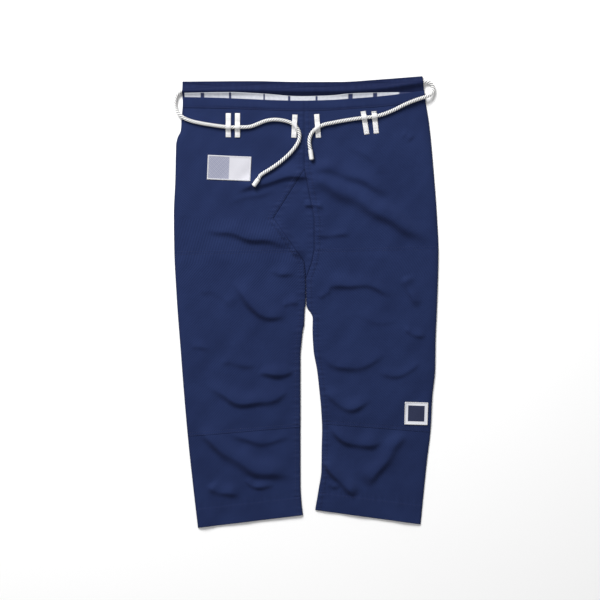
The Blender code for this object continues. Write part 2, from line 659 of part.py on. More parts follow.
def make_loop(loop, rope, tree):
    """Strap of tape from its waist end to its hem end, over the rope."""
    start, end = np.array((loop.x1, loop.y1)), np.array((loop.x2, loop.y2))
    length = np.linalg.norm(end - start)
    heading = (end - start) / length
    across = np.array((-heading[1], heading[0]))
    under, over = [], []
    for offset in np.linspace(-LOOP_WIDTH / 2, LOOP_WIDTH / 2, LOOP_COLUMNS):
        origin = start + across * offset
        from_line = (rope[:, :2] - origin) @ across
        along = (rope[:, :2] - origin) @ heading
        near = (along > 0) & (along < length)
        k = int(np.argmin(np.where(near, np.abs(from_line), 1.0)))
        tangent = rope[k + 1, :2] - rope[k - 1, :2]
        widen = np.linalg.norm(tangent) / abs(tangent @ across)
        places = origin + np.outer(np.linspace(0, length, LOOP_PROBES), heading)
        base = max(height_at(tree, *place) for place in places)
        u, z, slope = strap_profile(length, along[k], widen, rope[k, 2], base)
        plan = origin + np.outer(u, heading)
        lift = origin + np.outer(u + np.sin(slope) * LOOP_WALL, heading)
        under.append(np.column_stack([plan, z]))
        over.append(np.column_stack([lift, z + np.cos(slope) * LOOP_WALL]))
    return sheet(loop.name, np.stack(under, axis=1), np.stack(over, axis=1), "white_webbing")


# Labels

def make_label(name, label, tree):
    """Thin woven patch that follows the cloth below it."""
    columns = round(label["width"] / LABEL_CELL) + 1
    rows = round(label["height"] / LABEL_CELL) + 1
    u = np.linspace(-0.5, 0.5, columns)[None, :] * label["width"]
    v = np.linspace(0.5, -0.5, rows)[:, None] * label["height"]
    turn = label["turn"]
    x = label["x"] + u * cos(turn) - v * sin(turn)
    y = label["y"] + u * sin(turn) + v * cos(turn)
    z = np.vectorize(lambda px, py: height_at(tree, px, py))(x, y) + LABEL_GAP
    return sheet(name, grid_points(x, y, z), grid_points(x, y, z + LABEL_WALL), "woven_label")


def build():
    clear_scene()
    panels = {}
    patches = {}
    for side in SIDES:
        make_back_panel(side)
        panels[side], levels, top = make_front_panel(side)
        patches[side] = make_knee_patch(side, levels, top)
    make_gusset()
    make_casing()
    make_tape()
    band = make_band()
    front = surface_tree([*panels.values(), *patches.values(), band])
    make_rope("drawstring_back", back_route())
    for side, route in (("right", ROPE_RIGHT), ("left", ROPE_LEFT)):
        make_tip(f"cord_tip_{side}", make_rope(f"drawstring_{side}", route), front)
        fine = smooth_route(route, 40 * len(route))
        for loop in LOOPS:
            if f"_{side}_" in loop.name:
                make_loop(loop, fine, front)
    make_label("thigh_label", THIGH_LABEL, front)
    make_label("shin_label", SHIN_LABEL, front)


build()
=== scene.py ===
import math
import bpy
import numpy as np
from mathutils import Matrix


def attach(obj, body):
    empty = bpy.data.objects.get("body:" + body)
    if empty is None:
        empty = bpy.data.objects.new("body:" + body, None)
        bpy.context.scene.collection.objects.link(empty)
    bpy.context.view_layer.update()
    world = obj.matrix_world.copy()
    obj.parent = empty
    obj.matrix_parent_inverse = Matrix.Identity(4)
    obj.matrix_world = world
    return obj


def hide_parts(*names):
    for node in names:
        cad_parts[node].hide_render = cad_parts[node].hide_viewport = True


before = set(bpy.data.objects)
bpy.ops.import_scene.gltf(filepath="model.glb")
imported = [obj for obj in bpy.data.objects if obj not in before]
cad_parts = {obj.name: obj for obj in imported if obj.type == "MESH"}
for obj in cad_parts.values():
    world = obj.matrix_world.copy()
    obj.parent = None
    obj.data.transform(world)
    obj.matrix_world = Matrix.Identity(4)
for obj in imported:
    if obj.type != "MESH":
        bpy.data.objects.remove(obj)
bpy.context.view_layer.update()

# Cotton training trousers laid flat, front up, seen from straight above.
# Metres. +Y is the waist, +X the wearer's left, z = 0 the surface that they lie on.

mm = 0.001
sides = ("right", "left")  # the wearer's
coarse = 1.0  # wider mesh cells while trying things out

# Camera: straight above, sized so that one pixel of 600 is 2.16 mm
shot = dict(x=-0.0132, y=0.0043, height=3.5, imageWidth=1.296, sensor=36.0)


def placeCamera():
    # focal length = sensor width x height above the surface / width of the view
    data = bpy.data.cameras.new("camera")
    data.sensor_width = shot["sensor"]
    data.lens = shot["sensor"] * shot["height"] / shot["imageWidth"]
    data.clip_end = 30
    camera = bpy.data.objects.new("camera", data)
    camera.location = (shot["x"], shot["y"], shot["height"])
    bpy.context.collection.objects.link(camera)
    bpy.context.scene.camera = camera


placeCamera()
print("scene: camera placed")


# Colours and nodes

def hexColour(code):
    # sRGB to linear: c / 12.92 when dark, else ((c + 0.055) / 1.055) to the power 2.4
    parts = [int(code[k:k + 2], 16) / 255 for k in (1, 3, 5)]
    linear = [c / 12.92 if c <= 0.04045 else ((c + 0.055) / 1.055) ** 2.4 for c in parts]
    return (*linear, 1.0)


def addNode(tree, kind, inputs=None, **settings):
    # one node with its settings; an input is a value or the socket that feeds it
    node = tree.nodes.new("ShaderNode" + kind)
    for name, value in settings.items():
        setattr(node, name, value)
    for name, value in (inputs or {}).items():
        if isinstance(value, bpy.types.NodeSocket):
            tree.links.new(value, node.inputs[name])
        else:
            node.inputs[name].default_value = value
    return node


def startMaterial(name, roughness, specular, sheen=0.0):
    # a material with its even surface numbers set, and its node tree
    material = bpy.data.materials.new(name)
    material.use_nodes = True
    inputs = material.node_tree.nodes["Principled BSDF"].inputs
    inputs["Roughness"].default_value = roughness
    inputs["Specular IOR Level"].default_value = specular
    inputs["Sheen Weight"].default_value = sheen
    inputs["Sheen Roughness"].default_value = 0.5
    return material, material.node_tree


def dress(material, colour, normal=None, roughness=None):
    # the finished colour, bump and roughness go to the material's shader
    shader = material.node_tree.nodes["Principled BSDF"]
    for name, socket in (("Base Color", colour), ("Normal", normal), ("Roughness", roughness)):
        if socket is not None:
            material.node_tree.links.new(socket, shader.inputs[name])
    return material


def placeOn(tree):
    return addNode(tree, "TexCoord").outputs["Object"]


def patternOn(tree):
    # metres on the flat cut piece
    return addNode(tree, "UVMap", uv_map="flatPattern").outputs[0]


def shadeWearAndWeaveOn(tree):
    # 0 in a groove, 1 on a ridge: on the cloth, darker grooves and creases are painted shade and
    #                              paler ridges are wear; on the rope and its tips, the dark valleys
    #                              are painted shade; on the tape it is the woven colour
    return addNode(tree, "Attribute", attribute_name="shadeWearAndWeave").outputs["Fac"]


def maths(tree, kind, *values):
    # one sum on sockets or numbers
    return addNode(tree, "Math", dict(enumerate(values)), operation=kind).outputs[0]


def fleck(tree, coordinate, size, detail=2.0, roughness=0.5):
    # noise whose blotches are about the given size in metres
    inputs = {"Vector": coordinate, "Scale": 1 / size, "Detail": detail, "Roughness": roughness}
    return addNode(tree, "TexNoise", inputs).outputs[0]


def waves(tree, pattern, apart, direction="DIAGONAL", more=None):
    # straight bands: the wave node's scale is 0.314 over their distance in metres, and 0.444
    # over it where they run diagonally
    scale = (0.444 if direction == "DIAGONAL" else 0.314) / apart
    inputs = {"Vector": pattern, "Scale": scale, **(more or {})}
    return addNode(tree, "TexWave", inputs, bands_direction=direction).outputs[0]


def blend(tree, factor, first, second):
    # colours are hex codes or sockets
    first, second = (hexColour(c) if isinstance(c, str) else c for c in (first, second))
    return addNode(tree, "Mix", {0: factor, 6: first, 7: second}, data_type="RGBA").outputs[2]


def rescale(tree, value, low, high, newLow=0.0, newHigh=1.0):
    # straight line from one range to another, held at its ends
    inputs = {0: value, 1: low, 2: high, 3: newLow, 4: newHigh}
    return addNode(tree, "MapRange", inputs).outputs[0]


def bumpOn(tree, height, distance, strength=1.0, under=None):
    # fine relief, distance metres high, on top of the relief under it
    inputs = {"Height": height, "Distance": distance, "Strength": strength}
    if under is not None:
        inputs["Normal"] = under
    return addNode(tree, "Bump", inputs).outputs[0]


def pastBorder(tree, pattern, halfWidth, halfHeight):
    # distance beyond the border of a flat rectangle, below 0 inside it
    u, v = addNode(tree, "SeparateXYZ", {0: pattern}).outputs[:2]
    past = [maths(tree, "SUBTRACT", maths(tree, "ABSOLUTE", way), half)
            for way, half in ((u, halfWidth), (v, halfHeight))]
    return maths(tree, "MAXIMUM", *past)


def cottonTwill():
    # Garment-dyed cotton twill: matt, faint diagonal wales, slightly uneven dye, paler where seams
    # and hems stand up and rub;
    # painted shade darkens grooves, the hem side of folds, the rolled outer edges and the inside of
    # the back waist, and painted light pales the waist side of folds.
    # Wales are 0.8 mm apart in the real cloth and drawn at 4.2 mm so that they show.
    material, tree = startMaterial("cottonTwill", 0.88, 0.10, sheen=0.03)
    place, shadeWearAndWeave = placeOn(tree), shadeWearAndWeaveOn(tree)
    wales = waves(tree, patternOn(tree), 4.2 * mm,
                  more={"Distortion": 0.6, "Detail": 2.0, "Detail Scale": 1.5})
    fuzz = fleck(tree, place, 1.3 * mm, 3.0, 0.65)
    dye = fleck(tree, place, 75 * mm, 3.0, 0.55)
    crumple = fleck(tree, place, 15 * mm, 3.0, 0.5)
    colour = blend(tree, rescale(tree, dye, 0.35, 0.65), "#192549", "#1E2B51")
    colour = blend(tree, rescale(tree, fuzz, 0.3, 0.7, 0.0, 0.30), colour, "#253158")
    colour = blend(tree, rescale(tree, wales, 0.2, 1.0, 0.25, 0.0), colour, "#0D1534")
    # paler: ridges worn by rubbing, and painted light on the waist side of folds; darker towards
    # #0C1230: painted shade in grooves and creases, along rolled edges and inside the back waist
    colour = blend(tree, rescale(tree, shadeWearAndWeave, 0.5, 1.0, 0.0, 0.28), colour, "#424F7C")
    colour = blend(tree, rescale(tree, shadeWearAndWeave, 0.5, 0.0, 0.0, 0.62), colour, "#0C1230")
    normal = bumpOn(tree, crumple, 1.1 * mm, 0.55)
    normal = bumpOn(tree, fuzz, 0.22 * mm, 0.6, normal)
    normal = bumpOn(tree, wales, 0.4 * mm, 0.8, normal)
    return dress(material, colour, normal, rescale(tree, fuzz, 0.3, 0.7, 0.80, 0.93))


def sewingThread(name, dark, pale):
    # Polyester-wrapped cotton thread: a little shinier than the cloth
    material, tree = startMaterial(name, 0.55, 0.4)
    shade = fleck(tree, placeOn(tree), 0.5 * mm)
    colour = blend(tree, rescale(tree, shade, 0.3, 0.7), dark, pale)
    return dress(material, colour, bumpOn(tree, shade, 0.1 * mm))


def cottonWebbing():
    # Narrow woven cotton tape: soft white, herringbone weave 1.6 mm wide, drawn at 2.4 mm
    material, tree = startMaterial("cottonWebbing", 0.82, 0.2, sheen=0.1)
    pattern = patternOn(tree)
    u, v = addNode(tree, "SeparateXYZ", {0: pattern}).outputs[:2]
    folded = addNode(tree, "CombineXYZ", {0: maths(tree, "ABSOLUTE", u), 1: v}).outputs[0]
    weave = waves(tree, folded, 2.4 * mm)
    shade = fleck(tree, pattern, 2.5 * mm)
    colour = blend(tree, rescale(tree, weave, 0.1, 0.9), "#C2C2C6", "#E9E8E6")
    colour = blend(tree, rescale(tree, shade, 0.35, 0.7, 0.0, 0.3), colour, "#CFCDCB")
    return dress(material, colour, bumpOn(tree, weave, 0.35 * mm))


def twistedCotton():
    # Three-strand twisted cotton rope, bleached: painted shade grey in the grooves between strands,
    # fibres follow the strands
    material, tree = startMaterial("twistedCotton", 0.78, 0.25, sheen=0.15)
    stretched = addNode(tree, "Mapping", {0: patternOn(tree), "Scale": (9.0, 1.0, 1.0)})
    fibre = fleck(tree, stretched.outputs[0], 3.0 * mm, 3.0, 0.6)
    # painted shade: dark grey-blue in the valleys between strands, white on their crowns
    colour = blend(tree, rescale(tree, shadeWearAndWeaveOn(tree), 0.15, 0.85), "#3A3F50", "#F3F2EF")
    colour = blend(tree, rescale(tree, fibre, 0.4, 0.7, 0.0, 0.35), colour, "#CFCECD")
    return dress(material, colour, bumpOn(tree, fibre, 0.25 * mm))


def boundEnd():
    # Waxed cotton whipping wound round the rope's end: white with a soft shine, with painted shade
    # grey between the turns of thread
    material, tree = startMaterial("boundEnd", 0.5, 0.45)
    colour = blend(tree, rescale(tree, shadeWearAndWeaveOn(tree), 0.0, 1.0), "#9C9DA4", "#ECECEA")
    return dress(material, colour, bumpOn(tree, fleck(tree, placeOn(tree), 0.6 * mm), 0.1 * mm))


def wovenTape():
    # Jacquard tape: pale grey satin, selvedges along both sides, plain navy blocks woven in
    material, tree = startMaterial("wovenTape", 0.62, 0.35, sheen=0.1)
    pattern = patternOn(tree)
    across = addNode(tree, "SeparateXYZ", {0: pattern}).outputs[1]
    fromMiddle = maths(tree, "ABSOLUTE", maths(tree, "SUBTRACT", across, 7 * mm))
    weft = waves(tree, pattern, 1.4 * mm, "X")
    shade = fleck(tree, pattern, 6 * mm)
    selvedge = rescale(tree, fromMiddle, 6.0 * mm, 6.3 * mm, 0.0, 0.6)
    colour = blend(tree, rescale(tree, weft, 0.0, 1.0), "#AEB2BD", "#CDD0D8")
    colour = blend(tree, rescale(tree, shade, 0.35, 0.7, 0.0, 0.35), colour, "#E2E3E8")
    colour = blend(tree, selvedge, colour, "#AEB3BE")
    colour = blend(tree, shadeWearAndWeaveOn(tree), colour, "#222C54")
    return dress(material, colour, bumpOn(tree, weft, 0.2 * mm))


def wovenLabel():
    # Damask label in two plain fields: blue-grey on the left, off-white on the right,
    # with a pale merrowed edge
    material, tree = startMaterial("wovenLabel", 0.6, 0.35, sheen=0.08)
    pattern = patternOn(tree)
    u = addNode(tree, "SeparateXYZ", {0: pattern}).outputs[0]
    weave = waves(tree, pattern, 1.5 * mm, "Y")
    twist = waves(tree, pattern, 3.4 * mm)
    cell = addNode(tree, "TexChecker", {"Vector": pattern, "Scale": 1 / (5 * mm),
                                        "Color1": (1, 1, 1, 1), "Color2": (0, 0, 0, 1)}).outputs[1]
    left = blend(tree, rescale(tree, twist, 0.2, 0.8), "#828497", "#989AAB")
    left = blend(tree, rescale(tree, cell, 0, 1, 0.0, 0.18), left, "#6F728D")
    right = blend(tree, rescale(tree, weave, 0.0, 1.0), "#B3B3BB", "#CAC9D0")
    colour = blend(tree, rescale(tree, u, -0.6 * mm, 0.6 * mm), left, right)
    border = rescale(tree, pastBorder(tree, pattern, 47 * mm, 26.5 * mm), -3.2 * mm, -2.6 * mm)
    colour = blend(tree, border, colour, "#B9BAC6")
    normal = bumpOn(tree, weave, 0.2 * mm)
    return dress(material, colour, bumpOn(tree, twist, 0.15 * mm, 0.5, normal))


def wovenBadge():
    # Small damask badge: plain navy satin field in a wide white border
    material, tree = startMaterial("wovenBadge", 0.6, 0.35, sheen=0.08)
    pattern = patternOn(tree)
    weave = waves(tree, pattern, 2.2 * mm)
    border = rescale(tree, pastBorder(tree, pattern, 25 * mm, 24.25 * mm), -7.4 * mm, -7.0 * mm)
    colour = blend(tree, border, blend(tree, weave, "#131A36", "#1E284A"),
                   blend(tree, weave, "#C5C7D0", "#DEDFE5"))
    return dress(material, colour, bumpOn(tree, weave, 0.2 * mm))


finishes = dict(twill=cottonTwill(), webbing=cottonWebbing(), rope=twistedCotton(),
                tip=boundEnd(), tape=wovenTape(), label=wovenLabel(), badge=wovenBadge(),
                navyThread=sewingThread("navyThread", "#18224A", "#2C3864"),
                whiteThread=sewingThread("whiteThread", "#C6C6CB", "#E6E6E4"))
print("scene: materials made")


# Mesh makers

def putMesh(name, points, quads, flat, shadeWearAndWeave, smooth, finish):
    # one object from arrays: points (n, 3), quads (m, 4), flat pattern (n, 2), and a value per
    # point (n) that the finish reads: painted shade and wear on cloth and rope, woven colour on the
    # tape
    mesh = bpy.data.meshes.new(name)
    mesh.vertices.add(len(points))
    mesh.vertices.foreach_set("co", points.astype(np.float32).ravel())
    mesh.loops.add(quads.size)
    mesh.loops.foreach_set("vertex_index", quads.astype(np.int32).ravel())
    mesh.polygons.add(len(quads))
    mesh.polygons.foreach_set("loop_start", np.arange(0, quads.size, 4, dtype=np.int32))
    mesh.polygons.foreach_set("use_smooth", smooth.astype(bool))
    mesh.update(calc_edges=True)
    layer = mesh.uv_layers.new(name="flatPattern")
    layer.data.foreach_set("uv", flat[quads.ravel()].astype(np.float32).ravel())
    attribute = mesh.attributes.new("shadeWearAndWeave", "FLOAT", "POINT")
    attribute.data.foreach_set("value", shadeWearAndWeave.astype(np.float32).ravel())
    mesh.materials.append(finishes[finish])
    item = bpy.data.objects.new(name, mesh)
    bpy.context.collection.objects.link(item)
    return item


def gridQuads(rows, columns, closeColumns=False):
    # corner numbers of the cells of a grid of points, optionally closed into a tube
    index = np.arange(rows * columns).reshape(rows, columns)
    if closeColumns:
        index = np.concatenate([index, index[:, :1]], axis=1)
    corners = (index[:-1, :-1], index[:-1, 1:], index[1:, 1:], index[1:, :-1])
    return np.stack(corners, axis=-1).reshape(-1, 4)


def shell(name, under, over, flat, finish, shadeWearAndWeave=None):
    # thin wall between two grids of points, closed by a rim along its four sides
    rows, columns = over.shape[:2]
    count = rows * columns
    top = gridQuads(rows, columns)
    index = np.arange(count).reshape(rows, columns)
    ring = np.concatenate([index[0, :-1], index[:-1, -1], index[-1, :0:-1], index[:0:-1, 0]])
    following = np.roll(ring, -1)
    rim = np.stack([ring, ring + count, following + count, following], axis=-1)
    quads = np.concatenate([top, top[:, ::-1] + count, rim])
    if faceNormals(over.reshape(-1, 3), top[:200])[:, 2].sum() < 0:
        quads = quads[:, ::-1]
    smooth = np.arange(len(quads)) < 2 * len(top)
    points = np.concatenate([over.reshape(-1, 3), under.reshape(-1, 3)])
    flat = np.broadcast_to(flat, over.shape[:2] + (2,)).reshape(-1, 2)
    shadeWearAndWeave = np.full(count, 0.5) if shadeWearAndWeave is None else np.clip(shadeWearAndWeave, 0, 1).ravel()
    return putMesh(name, points, quads, np.tile(flat, (2, 1)), np.tile(shadeWearAndWeave, 2), smooth, finish)


def gridOf(*parts):
    # grid of points or flat places from their coordinates
    return np.stack(np.broadcast_arrays(*parts), axis=-1)


def faceNormals(points, quads):
    # cross product of each face's two diagonals
    corner = points[quads]
    return np.cross(corner[..., 2, :] - corner[..., 0, :], corner[..., 3, :] - corner[..., 1, :])


def crossways(heading):
    # two directions square to each heading: a level one, and the one up from it
    side = np.cross(heading, (0, 0, 1.0))
    side /= np.linalg.norm(side, axis=1)[:, None]
    return side, np.cross(side, heading)


def runAlong(line):
    # length of a line of points up to each point
    return np.append(0, np.cumsum(np.linalg.norm(np.diff(line, axis=0), axis=1)))


def pointsAt(where, run, line):
    # points of a line at the given lengths along it
    return np.stack([np.interp(where, run, line[:, axis]) for axis in range(3)], axis=-1)


def spaced(start, end, cell, fine=()):
    # points from start to end, cell apart, or a finer step near each (place, reach, step)
    at = np.linspace(start, end, 6000)
    density = np.full(at.shape, 1 / (cell * coarse))
    for place, reach, step in fine:
        density[np.abs(at - place) < reach] = 1 / step
    count = np.append(0, np.cumsum((density[1:] + density[:-1]) / 2 * np.abs(np.diff(at))))
    return np.interp(np.linspace(0, count[-1], max(2, round(count[-1])) + 1), count, at)


def ease(value):
    # 0 to 1 with soft ends: t^2 (3 - 2 t)
    value = np.clip(value, 0, 1)
    return value * value * (3 - 2 * value)


def bell(value):
    # 1 at 0, falling to 0 on both sides: e to the power of minus the square
    return np.exp(-value ** 2)


def roundOver(distance, radius):
    # quarter circle: 0 at the edge, 1 one radius in
    return np.sqrt(np.clip(1 - (1 - np.clip(distance / radius, 0, 1)) ** 2, 0, 1))


def cubic(f, first, last, firstSlope, lastSlope):
    # third-degree curve between two values with given slopes, f runs from 0 to 1
    return ((1 + 2 * f) * (1 - f) ** 2 * first + f * f * (3 - 2 * f) * last
            + f * (1 - f) ** 2 * firstSlope - f * f * (1 - f) * lastSlope)


def through(table, at):
    # smooth curve through (u, value) rows, without overshoot: cubic pieces whose slope at a
    # row is the harmonic mean of its two neighbours' slopes
    table = np.array(sorted((row[0], row[1]) for row in table))
    u, value = table[:, 0], table[:, 1]
    step = np.diff(u)
    slope = np.diff(value) / step
    tangent = np.empty_like(value)
    tangent[0], tangent[-1] = slope[0], slope[-1]
    sameWay = slope[:-1] * slope[1:] > 0
    total = np.where(sameWay, slope[:-1] + slope[1:], 1.0)
    tangent[1:-1] = np.where(sameWay, 2 * slope[:-1] * slope[1:] / total, 0.0)
    at = np.clip(at, u[0], u[-1])
    k = np.clip(np.searchsorted(u, at) - 1, 0, len(step) - 1)
    f = (at - u[k]) / step[k]
    return cubic(f, value[k], value[k + 1], step[k] * tangent[k], step[k] * tangent[k + 1])


# Drawstring: two visible runs and the hidden one in the casing

drawstring = dict(radius=4.0 * mm, lay=17 * mm, strands=3, groove=0.52, step=0.9 * mm, around=30,
                  crownShape=0.8, shadeShape=1.5, tipRadius=5.0 * mm, tipAround=28,
                  tipStep=0.16 * mm, bindPitch=1.25 * mm, bindDepth=0.32 * mm)
drawstringRoute = dict(
    right=((-0.2590, 0.4555, 0.0056), (-0.2675, 0.4549, 0.0056), (-0.2763, 0.4485, 0.0050),
           (-0.2816, 0.4352, 0.0044), (-0.2812, 0.4201, 0.0052), (-0.2754, 0.4072, 0.0078),
           (-0.2648, 0.3974, 0.0095), (-0.2508, 0.3910, 0.0099), (-0.2292, 0.3856, 0.0098),
           (-0.2033, 0.3812, 0.0098), (-0.1687, 0.3769, 0.0098), (-0.1428, 0.3765, 0.0098),
           (-0.1177, 0.3785, 0.0098), (-0.1039, 0.3838, 0.0098), (-0.0888, 0.3897, 0.0098),
           (-0.0700, 0.3929, 0.0099), (-0.0514, 0.3914, 0.0100), (-0.0331, 0.3862, 0.0102),
           (-0.0205, 0.3762, 0.0105), (-0.0145, 0.3629, 0.0105), (-0.0152, 0.3495, 0.0105),
           (-0.0220, 0.3361, 0.0105), (-0.0313, 0.3243, 0.0103), (-0.0469, 0.3090, 0.0105),
           (-0.0637, 0.2955, 0.0117), (-0.0823, 0.2832, 0.0129), (-0.0925, 0.2769, 0.0139),
           (-0.0990, 0.2715, 0.0144), (-0.1022, 0.2650, 0.0146)),
    left=((0.2407, 0.4732, 0.0056), (0.2500, 0.4746, 0.0056), (0.2590, 0.4747, 0.0055),
          (0.2655, 0.4733, 0.0053), (0.2701, 0.4701, 0.0050), (0.2735, 0.4650, 0.0049),
          (0.2747, 0.4590, 0.0052), (0.2735, 0.4530, 0.0062), (0.2701, 0.4479, 0.0076),
          (0.2640, 0.4443, 0.0098), (0.2560, 0.4415, 0.0117), (0.2365, 0.4350, 0.0117),
          (0.2130, 0.4255, 0.0113), (0.1896, 0.4139, 0.0105), (0.1661, 0.4044, 0.0099),
          (0.1475, 0.3996, 0.0099), (0.1240, 0.3970, 0.0099), (0.0935, 0.3927, 0.0099),
          (0.0607, 0.3869, 0.0099), (0.0344, 0.3806, 0.0099), (0.0196, 0.3722, 0.0102),
          (0.0104, 0.3610, 0.0105), (0.0070, 0.3490, 0.0105), (0.0074, 0.3380, 0.0105),
          (0.0089, 0.3283, 0.0105)))
drawstringEnds = dict(  # middle of each bound tip's two ends
    right=((-0.10262, 0.26442, 0.01542), (-0.1138, 0.24906, 0.01534)),
    left=((0.00894, 0.3280, 0.0116), (0.01215, 0.3058, 0.0116)))


def evenRoute(route, spacing):
    # points of the smooth curve through the route, the same distance apart
    route = np.array(route)
    run = runAlong(route)
    fine = np.linspace(0, run[-1], 40 * len(route))
    tangent = np.gradient(route, run, axis=0)
    k = np.clip(np.searchsorted(run, fine) - 1, 0, len(run) - 2)
    span = (run[k + 1] - run[k])[:, None]
    f = (fine - run[k])[:, None] / span
    curve = cubic(f, route[k], route[k + 1], span * tangent[k], span * tangent[k + 1])
    along = runAlong(curve)
    even = np.linspace(0, along[-1], max(3, round(along[-1] / spacing)))
    return pointsAt(even, along, curve), even


def roundBody(name, centre, along, radius, finish, shadeWearAndWeave):
    # tube round a line of points: radius (points, around) turns about each point's heading,
    # and both ends are closed by strips across their rings
    count, around = radius.shape
    heading = np.gradient(centre, along, axis=0)
    heading /= np.linalg.norm(heading, axis=1)[:, None]
    side, lift = crossways(heading)
    angle = np.linspace(0, 2 * np.pi, around, endpoint=False)
    spoke = (side[:, None] * np.cos(angle)[None, :, None]
             + lift[:, None] * np.sin(angle)[None, :, None])
    points = (centre[:, None] + spoke * radius[..., None]).reshape(-1, 3)
    quads = gridQuads(count, around, closeColumns=True)
    half = np.arange(around // 2 - 1)
    cap = np.stack([half, half + 1, around - 2 - half, around - 1 - half], axis=-1)
    last = cap[:, ::-1] + (count - 1) * around
    quads = np.concatenate([quads[:, ::-1], cap[:, ::-1], last])
    # faces of the tube point outwards when their normal follows the spoke
    if faceNormals(points, quads[0]) @ (points[quads[0]].mean(axis=0) - centre[0]) < 0:
        quads = quads[:, ::-1]
    flat = gridOf(angle * 4 * mm, along[:, None]).reshape(-1, 2)
    smooth = np.ones(len(quads), bool)
    return putMesh(name, points, quads, flat, shadeWearAndWeave.ravel(), smooth, finish)


def makeRope(name, route):
    # strands: the radius dips between strands, and the dips turn once in each lay length
    centre, along = evenRoute(route, drawstring["step"] * coarse)
    angle = np.linspace(0, 2 * np.pi, drawstring["around"], endpoint=False)[None, :]
    turn = 2 * np.pi * along[:, None] / drawstring["lay"]
    crown = np.abs(np.cos(drawstring["strands"] / 2 * (angle - turn)))
    crown = crown ** drawstring["crownShape"]
    radius = drawstring["radius"] * (1 - drawstring["groove"] * (1 - crown))
    # each strand's crown is passed on as painted shade, dark in the valleys between strands
    item = roundBody(name, centre, along, radius, "rope", crown ** drawstring["shadeShape"])
    return item, centre, along[-1]


def makeTip(name, ends):
    # whipping: rings of thread one pitch apart on a cylinder that rounds off at its far end
    start, end = np.array(ends)
    length = np.linalg.norm(end - start)
    along = np.linspace(0, length, round(length / (drawstring["tipStep"] * coarse)))
    centre = start + (end - start) * (along / length)[:, None]
    ring = np.abs(np.cos(np.pi * along / drawstring["bindPitch"])) ** 0.7
    body = drawstring["tipRadius"] - drawstring["bindDepth"] * (1 - ring)
    body *= roundOver(length - along + 0.4 * mm, 3 * mm)
    body *= 0.86 + 0.14 * ease(along / (1.5 * mm))
    # the ring shape is also passed on as painted shade, darker between the turns
    radius, shadeWearAndWeave = (np.repeat(part[:, None], drawstring["tipAround"], axis=1)
                    for part in (body, ring))
    return roundBody(name, centre, along, radius, "tip", shadeWearAndWeave)


ropes, tips = {}, {}
for side in sides:
    tips[side] = makeTip(f"drawstringTip_{side}", drawstringEnds[side])
    ropes[side] = makeRope(f"drawstringRun_{side}", drawstringRoute[side])
    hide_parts(f"drawstring_{side}")
    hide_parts(f"cord_tip_{side}")
print("scene: drawstring made")


# Outline of the legs: x at y, from the waist down

legs = dict(
    right=dict(
        way=-1,
        outer=((0.442, -0.2660), (0.416, -0.2665), (0.393, -0.2690), (0.370, -0.2705),
               (0.355, -0.2775), (0.339, -0.2808), (0.264, -0.2825), (0.188, -0.2856),
               (0.112, -0.2847), (0.026, -0.2804), (-0.030, -0.2767), (-0.093, -0.2717),
               (-0.201, -0.2633), (-0.309, -0.2536), (-0.395, -0.2443), (-0.4875, -0.2335)),
        inner=((0.4343, -0.0045), (0.112, -0.0030), (0.0864, -0.0024), (0.026, -0.0003),
               (-0.0065, -0.0012), (-0.013, -0.0026), (-0.030, -0.0036), (-0.050, -0.0044),
               (-0.060, -0.0068), (-0.093, -0.0104), (-0.1145, -0.0122), (-0.201, -0.0122),
               (-0.309, -0.0122), (-0.395, -0.0120), (-0.428, -0.0104), (-0.460, -0.0067)),
        gusset=((0.052, 0.0), (0.0864, 0.0020), (0.1145, 0.0216), (0.181, 0.0680),
                (0.285, 0.0010))),
    left=dict(
        way=1,
        outer=((0.456, 0.2547), (0.432, 0.2580), (0.3845, 0.2655), (0.296, 0.2741),
               (0.177, 0.2828), (0.112, 0.2856), (-0.004, 0.2827), (-0.082, 0.2795),
               (-0.147, 0.2784), (-0.201, 0.2726), (-0.281, 0.2683), (-0.337, 0.2616),
               (-0.402, 0.2547), (-0.480, 0.2471)),
        inner=((0.4343, -0.0042), (0.112, -0.0027), (0.0864, -0.0021), (0.026, 0.0001),
               (-0.006, 0.0006), (-0.013, 0.0024), (-0.0216, 0.0088), (-0.0346, 0.0142),
               (-0.0605, 0.0138), (-0.104, 0.0160), (-0.147, 0.0236), (-0.190, 0.0285),
               (-0.233, 0.0325), (-0.276, 0.0345), (-0.320, 0.0335), (-0.363, 0.0330),
               (-0.406, 0.0268), (-0.449, 0.0195)),
        gusset=((0.052, 0.0015), (0.0864, 0.0150), (0.1145, 0.0210), (0.181, 0.0210),
                (0.285, 0.0010))))
level = dict(waist=0.4343, bandEnd=0.4123, gussetTop=0.285, gussetCorner=0.181,
             patchTop=0.1145, crotch=0.0864, gussetEnd=0.052, patchEnd=-0.270,
             hemTop=-0.420, legEnd=-0.460)
waistLine = dict(  # y at x
    back=((-0.267, 0.4760), (-0.115, 0.4770), (-0.013, 0.4752), (0.073, 0.4752),
          (0.160, 0.4806), (0.251, 0.4875)),
    front=((-0.266, 0.4420), (-0.197, 0.4406), (-0.121, 0.4374), (-0.067, 0.4352),
           (-0.013, 0.4342), (0.052, 0.4357), (0.095, 0.4385), (0.138, 0.4417),
           (0.181, 0.4460), (0.224, 0.4514), (0.2547, 0.4558)),
    tape=((-0.262, 0.4504), (-0.164, 0.4520), (-0.095, 0.4493), (-0.013, 0.4439),
          (0.052, 0.4455), (0.095, 0.4493), (0.149, 0.4514), (0.202, 0.4525),
          (0.250, 0.4520)))


